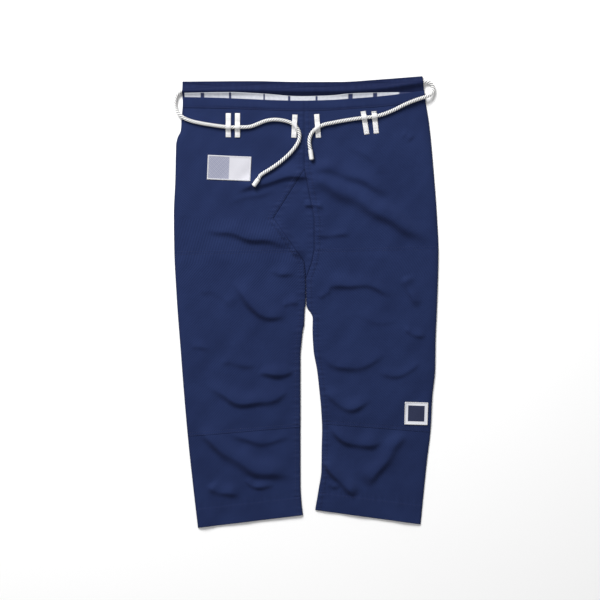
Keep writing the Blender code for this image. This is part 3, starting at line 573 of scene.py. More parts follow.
def legGrid(side, rows, share):
    # a row runs straight from the inner edge to the outer one; near the top it bows like the
    # waist. Rows are heights on the inner edge, share is 0 at that edge and 1 at the outer.
    leg = legs[side]
    height = np.asarray(rows)[:, None]
    below = (level["gussetEnd"] - height) / (level["gussetEnd"] - level["legEnd"])
    yIn = np.where(height > level["gussetEnd"], height,
                   level["gussetEnd"] + below * (leg["inner"][-1][0] - level["gussetEnd"]))
    down = (level["waist"] - height) / (level["waist"] - level["legEnd"])
    yOut = leg["outer"][0][0] + down * (leg["outer"][-1][0] - leg["outer"][0][0])
    gusset = np.array(leg["gusset"])
    notch = np.interp(yIn, gusset[:, 0], gusset[:, 1], left=0.0, right=0.0)
    xIn = through(leg["inner"], yIn) + leg["way"] * notch
    xOut = through(leg["outer"], yOut)
    width = np.hypot(xOut - xIn, yOut - yIn)
    share = share(width) if callable(share) else np.asarray(share)[None, :]
    x = xIn + share * (xOut - xIn)
    y = yIn + share * (yOut - yIn)
    straight = level["waist"] + share * (leg["outer"][0][0] - level["waist"])
    fade = 1 - ease((level["waist"] - height) / (level["waist"] - level["gussetTop"]))
    y = y + (through(waistLine["front"], x) - straight) * fade
    return x, y, share * width, (1 - share) * width


# Distances of the mesh columns from a leg's inner edge and from its outer one, millimetres
seamColumns = (0, 0.5, 1.1, 1.8, 2.5, 3.3, 4.3, 5.6, 7.0, 8.4, 9.5, 10.2, 10.8, 11.4, 12.1,
               12.9, 13.8, 15.2, 17)
edgeColumns = (15, 12, 9, 7, 5.2, 3.8, 2.7, 1.8, 1.0, 0.4, 0)


def clothShare(cell):
    # closer columns at the felled inseam and at the folded outer edge
    near = np.array(seamColumns)[None, :] * mm
    far = np.array(edgeColumns)[None, :] * mm
    middle = np.linspace(0, 1, max(3, round(0.235 / (cell * coarse))) + 1)[None, 1:-1]

    def share(width):
        start, end = near[0, -1] / width, 1 - far[0, 0] / width
        return np.concatenate([near / width, start + middle * (end - start), 1 - far / width],
                              axis=1)
    return share


# Shape of the laid cloth

lay = dict(rest=1.5 * mm, loft=2.5 * mm, roll=18 * mm, waistRaise=3.7 * mm,
           waistReach=45 * mm, foldLimit=11.5 * mm, frontWall=1.2 * mm, backWall=1.2 * mm,
           cell=2.7 * mm, wander=2.5 * mm, swell=0.45 * mm, foldScale=1.45,
           gentleShare=0.9, steepShare=0.85, uneven=0.26, unevenTurn=11, thinnest=0.12 * mm)
# Folds of the front, millimetres: three points on the crest, height,
# reach on the waist side (gentle) and on the hem side (steep)
folds = (
    (12, 273, -66, 264, -160, 233, 5.6, 20, 8),
    (-218, 162, -125, 140, -28, 123, 5.0, 24, 9),
    (-154, 54, -110, -15, -37, -32, 6.0, 22, 9),
    (-104, -149, -67, -156, -28, -143, 5.0, 18, 8),
    (-223, -168, -125, -218, -33, -181, 5.0, 22, 9),
    (-232, -266, -134, -350, -22, -370, 8.0, 26, 13),
    (-214, -389, -186, -410, -138, -415, 3.0, 18, 8),
    (-173, -270, -110, -300, -33, -287, 3.0, 18, 9),
    (6, 288, 92, 276, 188, 226, 4.6, 18, 14),
    (-6, 274, 138, 208, 272, 122, 8.4, 20, 16),
    (30, 26, 112, 38, 184, 14, 3.3, 20, 8),
    (214, 58, 224, 22, 240, -13, 3.0, 14, 9),
    (34, -98, 90, -142, 172, -104, 3.4, 24, 10),
    (44, -176, 84, -226, 146, -206, 3.6, 18, 9),
    (49, -259, 106, -307, 170, -292, 5.0, 20, 9),
    (36, -330, 70, -384, 112, -421, 5.6, 18, 8),
    (214, -280, 168, -343, 122, -396, 6.6, 20, 13),
    # the panel drops away along the gusset's edge on the wearer's right
    (-66, 178, -32, 128, -4, 88, 3.2, 12, 8),
    # smaller creases
    (-80, 72, -54, 62, -24, 60, 1.8, 14, 6),
    (-56, -10, -34, -4, -14, 2, 1.6, 10, 6),
    (-250, -98, -230, -99, -208, -98, 1.2, 12, 6),
    (-188, -125, -148, -134, -104, -132, 1.5, 16, 8),
    (-130, -378, -104, -398, -62, -394, 2.4, 12, 6),
    (-8, 214, 14, 207, 40, 202, 2.4, 9, 5),
    (18, 142, 58, 146, 102, 142, 1.5, 12, 6),
    (30, 4, 42, 16, 54, 20, 1.2, 10, 6),
    (154, -150, 200, -156, 246, -126, 1.8, 14, 7),
    (208, -55, 232, -68, 258, -76, 1.8, 12, 6),
    (46, -386, 58, -396, 72, -400, 1.6, 9, 5),
    (84, 342, 136, 312, 160, 272, 1.8, 22, 12),
    (202, 366, 218, 356, 228, 346, 1.0, 12, 8),
    (-60, 246, -110, 232, -170, 214, 1.4, 14, 8),
    (96, -20, 150, -40, 205, -36, 0.8, 18, 9),
    (-240, 30, -190, 16, -150, -8, 1.2, 22, 10),
    (-70, 176, -40, 130, -12, 96, 2.2, 10, 7))
# Long soft swells of the cloth: wavelength along x and y (m), offset, share of the height
swells = ((0.118, 0.171, 0.3, 1.0), (-0.083, 0.127, 1.9, 0.8), (0.061, -0.094, 4.1, 0.55),
          (0.229, 0.067, 2.6, 0.7), (-0.047, 0.052, 5.2, 0.35))


def foldHeight(x, y):
    # each fold falls off with the distance from its crest as a bell, wide on the waist side
    # and narrow on the hem side; it tapers towards its two ends, its height varies along it,
    # and its line wanders a little
    total = np.zeros(x.shape)
    px = x + lay["wander"] * np.sin(2 * np.pi * (y / 0.071 + x / 0.31))
    py = y + lay["wander"] * np.sin(2 * np.pi * (x / 0.083 - y / 0.27) + 1.3)
    at = np.linspace(0, 1, 17)[:, None]
    for x1, y1, x2, y2, x3, y3, height, gentle, steep in folds:
        a, b, c = (np.array(pair) * mm for pair in ((x1, y1), (x2, y2), (x3, y3)))
        pull = 2 * b - (a + c) / 2
        crest = (1 - at) ** 2 * a + 2 * at * (1 - at) * pull + at ** 2 * c
        far = 2.6 * gentle * mm
        near = ((px > crest[:, 0].min() - far) & (px < crest[:, 0].max() + far)
                & (py > crest[:, 1].min() - far) & (py < crest[:, 1].max() + far))
        spot = np.stack([px[near], py[near]], axis=-1)[:, None, :]
        step = crest[1:] - crest[:-1]
        t = np.clip(((spot - crest[:-1]) * step).sum(axis=-1) / (step ** 2).sum(axis=-1), 0, 1)
        foot = crest[:-1] + t[..., None] * step
        away = np.hypot(spot[..., 0] - foot[..., 0], spot[..., 1] - foot[..., 1])
        best = np.argmin(away, axis=1)
        pick = np.arange(len(best))
        distance, along = away[pick, best], (best + t[pick, best]) / (len(at) - 1)
        side = spot[:, 0, 1] - foot[pick, best, 1]
        reach = np.where(side > 0, lay["gentleShare"] * gentle, lay["steepShare"] * steep) * mm
        taper = ease(along * 4) * ease((1 - along) * 4)
        taper *= 1 + lay["uneven"] * np.sin(lay["unevenTurn"] * along + x1)
        total[near] += lay["foldScale"] * height * mm * taper * bell(distance / reach)
    return lay["foldLimit"] * np.tanh(total / lay["foldLimit"])


def ropeDistance(x, y):
    # distance to the drawstring seen from above, and the height of its middle there
    away, height = np.full(x.shape, 1.0), np.full(x.shape, 1.0)
    lines = [ropes[side][1][::4] for side in ropes]
    lines += [np.linspace(*drawstringEnds[side], 7) for side in drawstringEnds]
    for spot in np.concatenate(lines):
        distance = np.hypot(x - spot[0], y - spot[1])
        nearer = distance < away
        away = np.where(nearer, distance, away)
        height = np.where(nearer, spot[2], height)
    return away, height


# Where the cloth lies below the drawstring, and where below its two thicker tips
ropeBed = dict(low=0.22, high=0.47, clear=0.1 * mm, rise=0.9, flatHalf=3 * mm,
               rightTip=0.266, leftTip=0.33, leftTipX=0.01, leftTipHalf=0.012)


def underRope(x, y, surface):
    # the cloth gives way under the drawstring: its top stays below the rope, and may rise
    # again by its own width at each side
    area = (y > ropeBed["low"]) & (y < ropeBed["high"])
    if not area.any():
        return surface
    away, height = np.full(x.shape, 1.0), np.full(x.shape, 1.0)
    away[area], height[area] = ropeDistance(x[area], y[area])
    atLeftTip = ((np.abs(x - ropeBed["leftTipX"]) < ropeBed["leftTipHalf"])
                 & (y < ropeBed["leftTip"]))
    radius = np.where((y < ropeBed["rightTip"]) | atLeftTip,
                      drawstring["tipRadius"], drawstring["radius"])
    ceiling = (height - radius - ropeBed["clear"] - lay["frontWall"]
               + ropeBed["rise"] * np.maximum(away - ropeBed["flatHalf"], 0))
    return np.where(area, np.minimum(surface, ceiling), surface)


def swellHeight(x, y):
    # sum of five slow waves that cross the cloth at different slants
    total = np.zeros(x.shape)
    for waveX, waveY, offset, share in swells:
        total += share * np.sin(2 * np.pi * (x / waveX + y / waveY) + offset)
    return lay["swell"] * total


def frontUnder(x, y):
    # underside of the front: rests on the back, rises over a rounded shoulder from every open
    # edge, is lifted at the waist by the casing below it, and carries the folds
    outer = np.minimum(x - through(legs["right"]["outer"], y),
                       through(legs["left"]["outer"], y) - x)
    crack = np.maximum(through(legs["right"]["inner"], y) - x,
                       x - through(legs["left"]["inner"], y))
    shoulder = 1 - (1 - np.clip(outer / lay["roll"], 0, 1)) ** 2
    between = 1 - (1 - np.clip(crack / lay["roll"], 0, 1)) ** 2
    split = ease((level["crotch"] + 0.010 - y) / 0.060)
    roll = shoulder * (1 - split * (1 - between))
    waist = 1 - ease((through(waistLine["front"], x) - y) / lay["waistReach"])
    hem = 1 - ease((y - level["legEnd"]) / 0.060)
    loft = lay["loft"] * roll * (1 - 0.5 * hem) * (1 - waist)
    soft = (foldHeight(x, y) + swellHeight(x, y)) * roll * (1 - waist)
    return underRope(x, y, lay["rest"] + loft + lay["waistRaise"] * waist + soft)


def ripple(distance, period, seed):
    # puckers along a seam: a wave whose period drifts with two longer waves
    turn = 2 * np.pi * distance / period
    return np.sin(turn + 2.1 * np.sin(turn / 4.3 + seed) + 1.3 * np.sin(turn / 9.1 + 2 * seed))


# Seams pressed into the cloth
relief = dict(fell=13 * mm, fellRaise=0.7 * mm, hemRaise=0.8 * mm, groove=0.34 * mm,
              grooveWidth=1.1 * mm, valley=0.55 * mm, valleyWidth=1.9 * mm, pucker=0.34 * mm,
              puckerPeriod=9 * mm, puckerReach=9 * mm, stitchLines=(1.8 * mm, 10.8 * mm),
              hemLine=2.0 * mm, hemPuckers=0.4, patchLines=(1.9 * mm, 7.0 * mm))


def groove(distance):
    # a row of stitches pulls the cloth down as a narrow bell
    return -relief["groove"] * bell(distance / relief["grooveWidth"])


def inseamRelief(side, dIn, y):
    # felled seam: a raised strip with a valley at the join; and the marks in it, a stitched
    # groove near each edge and puckers along it
    seed = 0.7 if side == "right" else 2.9
    raised = relief["fellRaise"] * (1 - ease((dIn - 0.85 * relief["fell"]) / (2.2 * mm)))
    valley = -relief["valley"] * bell(dIn / relief["valleyWidth"])
    lines = sum(groove(dIn - line) for line in relief["stitchLines"])
    gathers = (relief["pucker"] * ripple(y, relief["puckerPeriod"], seed)
               * bell((dIn - 8 * mm) / relief["puckerReach"]))
    return raised + valley, lines + gathers


def hemRelief(height, x):
    # the turned-up hem is a raised strip; its marks are a stitched groove and puckers above it
    raised = relief["hemRaise"] * ease((level["hemTop"] - height) / (1.4 * mm))
    line = groove(level["hemTop"] - relief["hemLine"] - height)
    gathers = (relief["hemPuckers"] * relief["pucker"] * ripple(x, 11 * mm, 1.1)
               * bell((height - level["hemTop"]) / (10 * mm)))
    return raised, line + gathers


def wearAndShadeFrom(bump):
    # 0.5 on plain cloth, 0.5 more for each millimetre of ridge, paler with wear, and less in
    # grooves, darker with painted shade
    return 0.5 + bump / (2.0 * mm)


creaseShade = dict(pale=0.12, dark=0.62, steepest=0.6)


def foldShadeAndLight(x, y):
    # painted shade on the side of a fold that faces the hem, away from the key light, and a little
    # painted light on the side that faces the waist
    slope = np.gradient(foldHeight(x, y), axis=0) / np.gradient(y, axis=0)
    pale, dark = (np.clip(way * slope, 0, creaseShade["steepest"]) for way in (-1, 1))
    return creaseShade["pale"] * pale - creaseShade["dark"] * dark


def panelSurface(side, rows, share):
    # the leg's surface with its seams: grids, distances from both edges, pattern, and wear with
    # painted shade and light
    x, y, dIn, dOut = legGrid(side, rows, share)
    height = rows[:, None]
    seam, seamMarks = inseamRelief(side, dIn, y)
    hem, hemMarks = hemRelief(height, x)
    inward = ease(dOut / (4 * mm))
    marks = seamMarks + hemMarks * inward
    bump = seam + hem * inward + marks
    edge = np.minimum(roundOver(dOut, 5 * mm),
                      np.where(y < level["gussetEnd"], roundOver(dIn + 0.2 * mm, 3 * mm), 1))
    base = frontUnder(x, y)
    over = base + lay["frontWall"] + bump
    tip = lay["rest"] + 0.15 * mm
    over = tip + (over - tip) * edge
    under = np.minimum(base, over - lay["thinnest"])
    # painted shade in the seam grooves, on the hem side of folds and along the rolled outer edge;
    # painted light on the waist side of folds; paler worn ridges
    shadeWearAndWeave = wearAndShadeFrom(marks) + foldShadeAndLight(x, y) - 0.22 * bell(dOut / (4 * mm))
    flat = gridOf(dIn, np.broadcast_to(height, x.shape))
    return x, y, under, over, dIn, dOut, flat, shadeWearAndWeave


grids = {}  # rows and points of the surfaces that carry stitches


def keep(item, node):
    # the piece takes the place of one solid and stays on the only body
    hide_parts(node)
    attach(item, "root")


def frontRows():
    # rows run in stretches, so that each corner of the gusset has a row of its own
    fine = ((level["bandEnd"], 4 * mm, 1.2 * mm), (level["hemTop"], 5 * mm, 0.8 * mm),
            (level["legEnd"], 4 * mm, 1.0 * mm))
    marks = (level["bandEnd"] - 0.3 * mm, level["gussetTop"], level["gussetCorner"],
             level["patchTop"], level["crotch"], level["gussetEnd"], level["legEnd"])
    stretches = [spaced(a, b, lay["cell"], fine)[:-1] for a, b in zip(marks[:-1], marks[1:])]
    return np.append(np.concatenate(stretches), marks[-1])


def makeFrontPanel(side):
    rows = frontRows()
    x, y, under, over, dIn, dOut, flat, shadeWearAndWeave = panelSurface(side, rows, clothShare(lay["cell"]))
    # rounded end at the hem
    last = roundOver(rows - rows[-1] + 0.15 * mm, 1.6 * mm)[:, None]
    middle = (under + over) / 2
    under, over = middle + (under - middle) * last, middle + (over - middle) * last
    grids[f"panel_{side}"] = (rows, gridOf(x, y, over))
    item = shell(f"frontLeg_{side}", gridOf(x, y, under), gridOf(x, y, over), flat, "twill", shadeWearAndWeave)
    keep(item, f"front_leg_{side}")


patch = dict(wall=1.2 * mm, gap=0.3 * mm, endShare=0.06, endReach=24 * mm, marks=0.6,
             puckers=0.8, shade=1.6 * mm)


def makeKneePatch(side):
    # second layer over the knee, sewn into both side seams, thinner towards its two ends
    fine = ((level["patchTop"], 11 * mm, 0.8 * mm), (level["patchEnd"], 11 * mm, 0.8 * mm))
    rows = spaced(level["patchTop"], level["patchEnd"], lay["cell"], fine)
    x, y, panelUnder, panelOver, dIn, dOut, flat, shadeWearAndWeave = panelSurface(
        side, rows, clothShare(lay["cell"]))
    fromEnd = np.minimum(level["patchTop"] - rows, rows - level["patchEnd"])[:, None]
    fromSide = np.minimum(dIn, dOut)
    lines = patch["marks"] * sum(groove(fromEnd - line) for line in relief["patchLines"])
    gathers = (relief["pucker"] * patch["puckers"] * ripple(x, 12 * mm, 3.3)
               * bell((fromEnd - 6 * mm) / (7 * mm)))
    sideEdge = roundOver(fromSide + 0.1 * mm, 2.2 * mm)
    full = patch["endShare"] + (1 - patch["endShare"]) * ease(fromEnd / patch["endReach"])
    lift = (patch["gap"]
            + patch["wall"] * full * sideEdge * roundOver(fromEnd + 0.15 * mm, 1.2 * mm))
    bump = (lines + gathers * sideEdge) * ease(fromSide / (3 * mm))
    under = panelOver + patch["gap"]
    over = np.maximum(panelOver + lift + bump, under + 0.1 * mm)
    grids[f"patch_{side}"] = (rows, gridOf(x, y, over))
    # painted shade in the stitched grooves near the patch's ends, added to the panel's wear and
    # painted fold shade
    item = shell(f"kneePatch_{side}", gridOf(x, y, under), gridOf(x, y, over), flat, "twill",
                 shadeWearAndWeave + lines / patch["shade"])
    keep(item, f"knee_patch_{side}")


gusset = dict(cell=2.4 * mm, inset=0.3 * mm, flap=2.5 * mm, tuck=1.5 * mm)


def gussetShape(flap):
    # columns cross the diamond; a flap at each side is the seam allowance below the legs
    rows = frontRows()
    rows = rows[(rows <= level["gussetTop"] + 1e-6) & (rows >= level["gussetEnd"] - 1e-6)]
    share = np.linspace(0, 1, round(0.09 / (gusset["cell"] * coarse)) + 1)[None, :]
    xRight, y = legGrid("right", rows, (0.0,))[:2]
    xLeft = legGrid("left", rows, (0.0,))[0]
    start, end = xRight + gusset["inset"], xLeft - gusset["inset"]
    x = start + share * (end - start)
    beyond = np.array((1.0, 0.3, 0.0))[None, :] * flap
    x = np.concatenate([start - beyond, x, end + beyond[:, ::-1]], axis=1)
    y = np.broadcast_to(y, x.shape)
    edge = np.minimum(x - start, end - x)
    return x, y, edge, gridOf(x, y)


def makeGusset():
    # diamond let in between the legs, front and back; the front's flaps tuck under the legs
    x, y, edge, flat = gussetShape(gusset["flap"])
    inside = np.maximum(edge, 0)
    bump = (-relief["valley"] * bell(inside / relief["valleyWidth"])
            + 0.7 * relief["pucker"] * ripple(y, 12 * mm, 4.4) * bell((inside - 8 * mm) / (8 * mm)))
    tuck = gusset["tuck"] * ease(-edge / (0.7 * mm) + 0.4)
    under = np.maximum(frontUnder(x, y) - 0.35 * tuck, lay["backWall"] + 0.1 * mm)
    over = np.maximum(under + lay["frontWall"] + bump - 0.75 * tuck, under + lay["thinnest"])
    # painted shade in the seam groove and on the hem side of folds
    front = shell("crotchGusset_front", gridOf(x, y, under), gridOf(x, y, over), flat, "twill",
                  wearAndShadeFrom(bump) + foldShadeAndLight(x, y))
    x, y, _, flat = (part[:, 2:-2] for part in gussetShape(0.0))
    back = shell("crotchGusset_back", gridOf(x, y, 0), gridOf(x, y, lay["backWall"]), flat,
                 "twill")
    keep(front, "crotch_gusset_front")
    keep(back, "crotch_gusset_back")


backPanel = dict(cell=5.5 * mm, start=22 * mm, fillRows=7, shift=2.2 * mm, shiftReach=30 * mm,
                 creaseShare=0.2, edge=4.5 * mm)


def makeBackPanel(side):
    # flat on the surface; the main creases of the front show through in it a little. Above
    # the first row it is filled in up to the casing.
    rows = spaced(level["bandEnd"] - backPanel["start"], level["legEnd"], backPanel["cell"],
                  ((level["legEnd"], 4 * mm, 1.2 * mm),))
    x, y, dIn, dOut = legGrid(side, rows, clothShare(backPanel["cell"]))
    start = legs[side]["inner"][0][1]
    end = legs[side]["outer"][0][1] - legs[side]["way"] * 0.5 * mm
    topX = start + (dIn[:1] / (dIn[:1] + dOut[:1])) * (end - start)
    topY = casingEdge(topX) - 0.5 * mm
    fill = np.linspace(0, 1, backPanel["fillRows"] + 1)[:-1, None]
    x = np.vstack([topX + fill * (x[:1] - topX), x])
    y = np.vstack([topY + fill * (y[:1] - topY), y])
    dIn, dOut = (np.vstack([np.repeat(part[:1], backPanel["fillRows"], axis=0), part])
                 for part in (dIn, dOut))
    x = x + (backPanel["shift"] * bell(dIn / backPanel["shiftReach"])
             * ease((y - level["gussetTop"]) / (5 * mm)))
    openEdge = np.where(y < level["gussetEnd"], np.minimum(dIn, dOut), dOut)
    away = ease((openEdge - 8 * mm) / (20 * mm)) * ease((topY - y) / 0.04)
    crease = backPanel["creaseShare"] * foldHeight(x, y) * away
    edge = 1 - roundOver(openEdge, backPanel["edge"])
    under = 1.25 * mm * edge + crease
    over = lay["backWall"] + 0.15 * mm * edge + crease
    flat = gridOf(dIn, y)
    item = shell(f"backLeg_{side}", gridOf(x, y, under), gridOf(x, y, over), flat, "twill")
    keep(item, f"back_leg_{side}")


casing = dict(depth=38 * mm, wall=1.2 * mm, seam=2.7 * mm, bulge=9.0 * mm, bulgeWidth=8.2 * mm,
              lean=4 * mm, channelHalf=11 * mm, sections=19, cell=2.2 * mm, middle=1.3 * mm,
              gather=0.25 * mm, gatherPeriod=15 * mm, gatherAt=12 * mm, shade=0.46,
              stitchLines=(35.5 * mm, 2.5 * mm), crease=1.1 * mm, drift=3 * mm,
              ropeDown=((-0.267, 0.0205), (0.150, 0.0200), (0.251, 0.0130)))
# Long creases of the casing: distance down (mm), way they drift, width (mm), period (m), offset
casingCreases = ((9, 1, 1.8, 0.13, 0), (15, -1, 2.2, 0.22, 2))


def casingStations(count):
    return np.linspace(waistLine["back"][0][0], waistLine["back"][-1][0], count)


def casingLean(stations):
    # how far the lower edge has moved sideways at each station
    return casing["lean"] * (stations - stations[0]) / (stations[-1] - stations[0])


def casingHead(x):
    # y of the upper edge: straight stretches between the same sections as the solid
    stations = casingStations(casing["sections"])
    return np.interp(x, stations, through(waistLine["back"], stations))


def casingEdge(x):
    # y of the lower edge
    stations = casingStations(casing["sections"])
    return np.interp(x, stations + casingLean(stations),
                     through(waistLine["back"], stations) - casing["depth"])


def casingTop(x, v):
    # the rope's channel swells as a bell across the casing
    across = (v - through(casing["ropeDown"], x)) / casing["bulgeWidth"]
    return casing["seam"] + casing["bulge"] * bell(across)


def casingGathers(x, v):
    return (casing["gather"] * ripple(x, casing["gatherPeriod"], 0.4)
            * bell((v - casing["gatherAt"]) / casing["gatherAt"]))


def makeCasing():
    # closed ring of cloth round the channel: over the rope and back underneath
    stations = casingStations(round(0.52 / (casing["cell"] * coarse)))[:, None]
    topY, lean = casingHead(stations), casingLean(stations)
    vTop = np.concatenate([spaced(0, 3 * mm, 0.4 * mm), spaced(3.6 * mm, 35 * mm, 0.9 * mm),
                           spaced(35.6 * mm, 38 * mm, 0.6 * mm)])
    v = np.concatenate([vTop, vTop[::-3]])[None, :]
    isTop = np.arange(v.shape[1])[None, :] < len(vTop)
    channel = through(casing["ropeDown"], stations) - casing["channelHalf"]
    vInner = channel + v * (2 * casing["channelHalf"] / casing["depth"])
    drift = casing["drift"] * np.sin(2 * np.pi * stations / 0.19 + 0.8)
    creases = sum(bell((v - down * mm - way * drift) / (width * mm))
                  * (0.5 + 0.5 * np.sin(2 * np.pi * stations / period + offset))
                  for down, way, width, period, offset in casingCreases)
    marks = (casingGathers(stations, v) * ease(v / (4 * mm)) - casing["crease"] * creases
             + sum(groove(v - line) for line in casing["stitchLines"]))
    roundEdge = roundOver(np.minimum(v, casing["depth"] - v) + 0.1 * mm, 1.5 * mm)
    # the edges close half way up the folded cloth
    middle, top = casing["middle"], casingTop(stations, v) + marks
    zOuter = np.where(isTop, middle + (top - middle) * roundEdge, middle * (1 - roundEdge))
    zInner = np.where(isTop, casingTop(stations, vInner) - casing["wall"], casing["wall"])
    rings = [gridOf(stations + lean * depth / casing["depth"], topY - depth, z)
             for depth, z in ((v, zOuter), (vInner, zInner))]
    sections, ring = rings[0].shape[:2]
    outer = gridQuads(sections, ring, closeColumns=True)
    inner = outer[:, ::-1] + sections * ring
    k = np.arange(ring)
    following = (k + 1) % ring
    mouth = np.stack([k, following, following + sections * ring, k + sections * ring], axis=-1)
    quads = np.concatenate([outer, inner, mouth[:, ::-1], mouth + (sections - 1) * ring])
    points = np.concatenate([part.reshape(-1, 3) for part in rings])
    if faceNormals(points, outer[ring // 4])[2] < 0:
        quads = quads[:, ::-1]
    flat = gridOf(stations, v).reshape(-1, 2)
    # painted shade: the inside of the back waist is darker, as are its creases and stitched grooves
    shadeWearAndWeave = wearAndShadeFrom(marks) - np.where(isTop, casing["shade"], 0)
    shadeWearAndWeave = np.broadcast_to(shadeWearAndWeave, zOuter.shape).ravel()
    smooth = np.arange(len(quads)) < 2 * len(outer)
    item = putMesh("waistCasing", points, quads, np.tile(flat, (2, 1)),
                   np.tile(np.clip(shadeWearAndWeave, 0, 1), 2), smooth, "twill")
    keep(item, "waist_casing_back")


tape = dict(width=14 * mm, wall=1.0 * mm, gap=0.5 * mm, plainFrom=0.198, fade=5 * mm)
# Plain navy blocks woven into the tape: middle (m) and width (mm); it is navy from plainFrom on
tapeBlocks = ((-0.2236, 8), (-0.1640, 5), (-0.0905, 3.5), (-0.0365, 5), (0.0225, 4.5),
              (0.0957, 10), (0.1488, 9))


def makeTape():
    # sewn inside the back of the waist, on the casing; its wall is thinner along two woven lines
    start, end = waistLine["tape"][0][0], waistLine["tape"][-1][0]
    x = np.linspace(start, end, round((end - start) / (1.0 * mm * coarse)))[:, None]
    across = spaced(0, tape["width"], 1.0 * mm)[None, :]
    y = through(waistLine["tape"], x) - across
    v = np.minimum(casingHead(x) - y, casing["depth"])
    under = casingTop(x, v) + tape["gap"] + casingGathers(x, v)
    edge = np.minimum(across, tape["width"] - across)
    over = (under + tape["wall"] * roundOver(edge + 0.1 * mm, 0.9 * mm)
            - 0.15 * mm * bell((edge - 1.6 * mm) / (0.7 * mm)))
    flat = gridOf(x, across)
    navy = sum(ease((width * mm / 2 - np.abs(x - place)) / (1.2 * mm) + 0.5)
               for place, width in tapeBlocks) * ease(edge / (0.8 * mm))
    navy = np.maximum(navy, ease((x - tape["plainFrom"]) / tape["fade"]))
    item = shell("waistTape", gridOf(x, y, under), gridOf(x, y, over), flat, "tape", navy)
    keep(item, "waist_tape")


band = dict(wall=2.2 * mm, cell=1.1 * mm, edgeCell=0.4 * mm, columns=2.4 * mm,
            stitchLine=20 * mm, pucker=0.22 * mm, puckerPeriod=11 * mm, puckerReach=9 * mm,
            crease=0.75 * mm, creaseWidth=3.4 * mm, weakest=0.3, dents=(-0.105, 0.085),
            dentReach=0.065, joinX=-4.35 * mm, joinDepth=0.5 * mm, joinStitchX=6.3 * mm)


def bandGathers(x, height):
    # the stitch row pulls a long dent into the cloth, deepest over the middle of each half,
    # with short puckers across it
    near = sum(bell((x - place) / band["dentReach"]) for place in band["dents"])
    strong = band["weakest"] + (1 - band["weakest"]) * near
    down = height - (level["waist"] - band["stitchLine"])
    dent = -band["crease"] * bell(down / band["creaseWidth"])
    puckers = (band["pucker"] * ripple(x, band["puckerPeriod"], 5.5)
               * bell(down / band["puckerReach"]))
    return (dent + puckers) * strong


def makeBand():
    # hemmed waist edge in one piece over both legs: a rounded fold at the top, a stitched
    # groove near its lower edge, and the centre-front join
    rows = np.append(spaced(level["waist"], level["bandEnd"] + 1 * mm, band["cell"],
                            ((level["waist"], 3 * mm, band["edgeCell"]),)),
                     (level["bandEnd"] + 0.5 * mm, level["bandEnd"]))
    halves = [legGrid(side, rows, clothShare(band["columns"])) for side in sides]
    x, y, dOut = (np.concatenate([halves[0][k][:, ::-1], halves[1][k][:, 1:]], axis=1)
                  for k in (0, 1, 3))
    down = (level["waist"] - rows)[:, None]
    bump = bandGathers(x, rows[:, None]) + 0.5 * groove(down - band["stitchLine"])
    seam = (-band["joinDepth"] * bell((x - band["joinX"]) / (1.5 * mm))
            + groove(x - band["joinStitchX"]))
    under = frontUnder(x, y)
    middle = under + band["wall"] / 2
    fold = np.minimum(roundOver(down + 0.05 * mm, 1.4 * mm), roundOver(dOut + 0.1 * mm, 2.0 * mm))
    over = middle + (band["wall"] / 2 + bump + seam) * fold
    under = np.minimum(middle - band["wall"] / 2 * fold, over - 0.1 * mm)
    flat = gridOf(x, down)
    grids["band"] = (rows, gridOf(x, y, over))
    # painted shade in the dent along the stitch row and in the centre-front join
    item = shell("waistband", gridOf(x, y, under), gridOf(x, y, over), flat, "twill",
                 wearAndShadeFrom(bump + seam))
    keep(item, "waistband_front")


for side in sides:
    makeBackPanel(side)
    makeFrontPanel(side)
    makeKneePatch(side)
makeGusset()
makeCasing()
makeTape()
makeBand()
print("scene: cloth made")


# Belt loops

loopStrap = dict(wall=1.0 * mm, foot=9 * mm, clear=0.7 * mm, gap=0.3 * mm, footPoints=12,
                 turnPoints=15, press=0.35 * mm, thinnest=0.12 * mm)
# Lines along the strap, millimetres from its middle
strapLines = (-5.5, -5.1, -4.4, -3.2, -1.6, 0, 1.6, 3.2, 4.4, 5.1, 5.5)
# Name, side, then x and y of the two ends
beltLoops = (
    ("belt_loop_right_outer", "right", -0.1678, 0.4072, -0.1678, 0.3553),
    ("belt_loop_right_middle", "right", -0.1480, 0.4072, -0.1480, 0.3547),
    ("belt_loop_right_centre", "right", -0.0240, 0.4039, -0.0264, 0.3542),
    ("belt_loop_left_centre", "left", 0.0227, 0.4050, 0.0266, 0.3542),
    ("belt_loop_left_middle", "left", 0.1229, 0.4113, 0.1311, 0.3612),
    ("belt_loop_left_outer", "left", 0.1462, 0.4113, 0.1516, 0.3631))


def clothTop(x, y, extra=0.0):
    # top of the front without its seams, which carries loops and labels
    return frontUnder(x, y) + lay["frontWall"] + extra


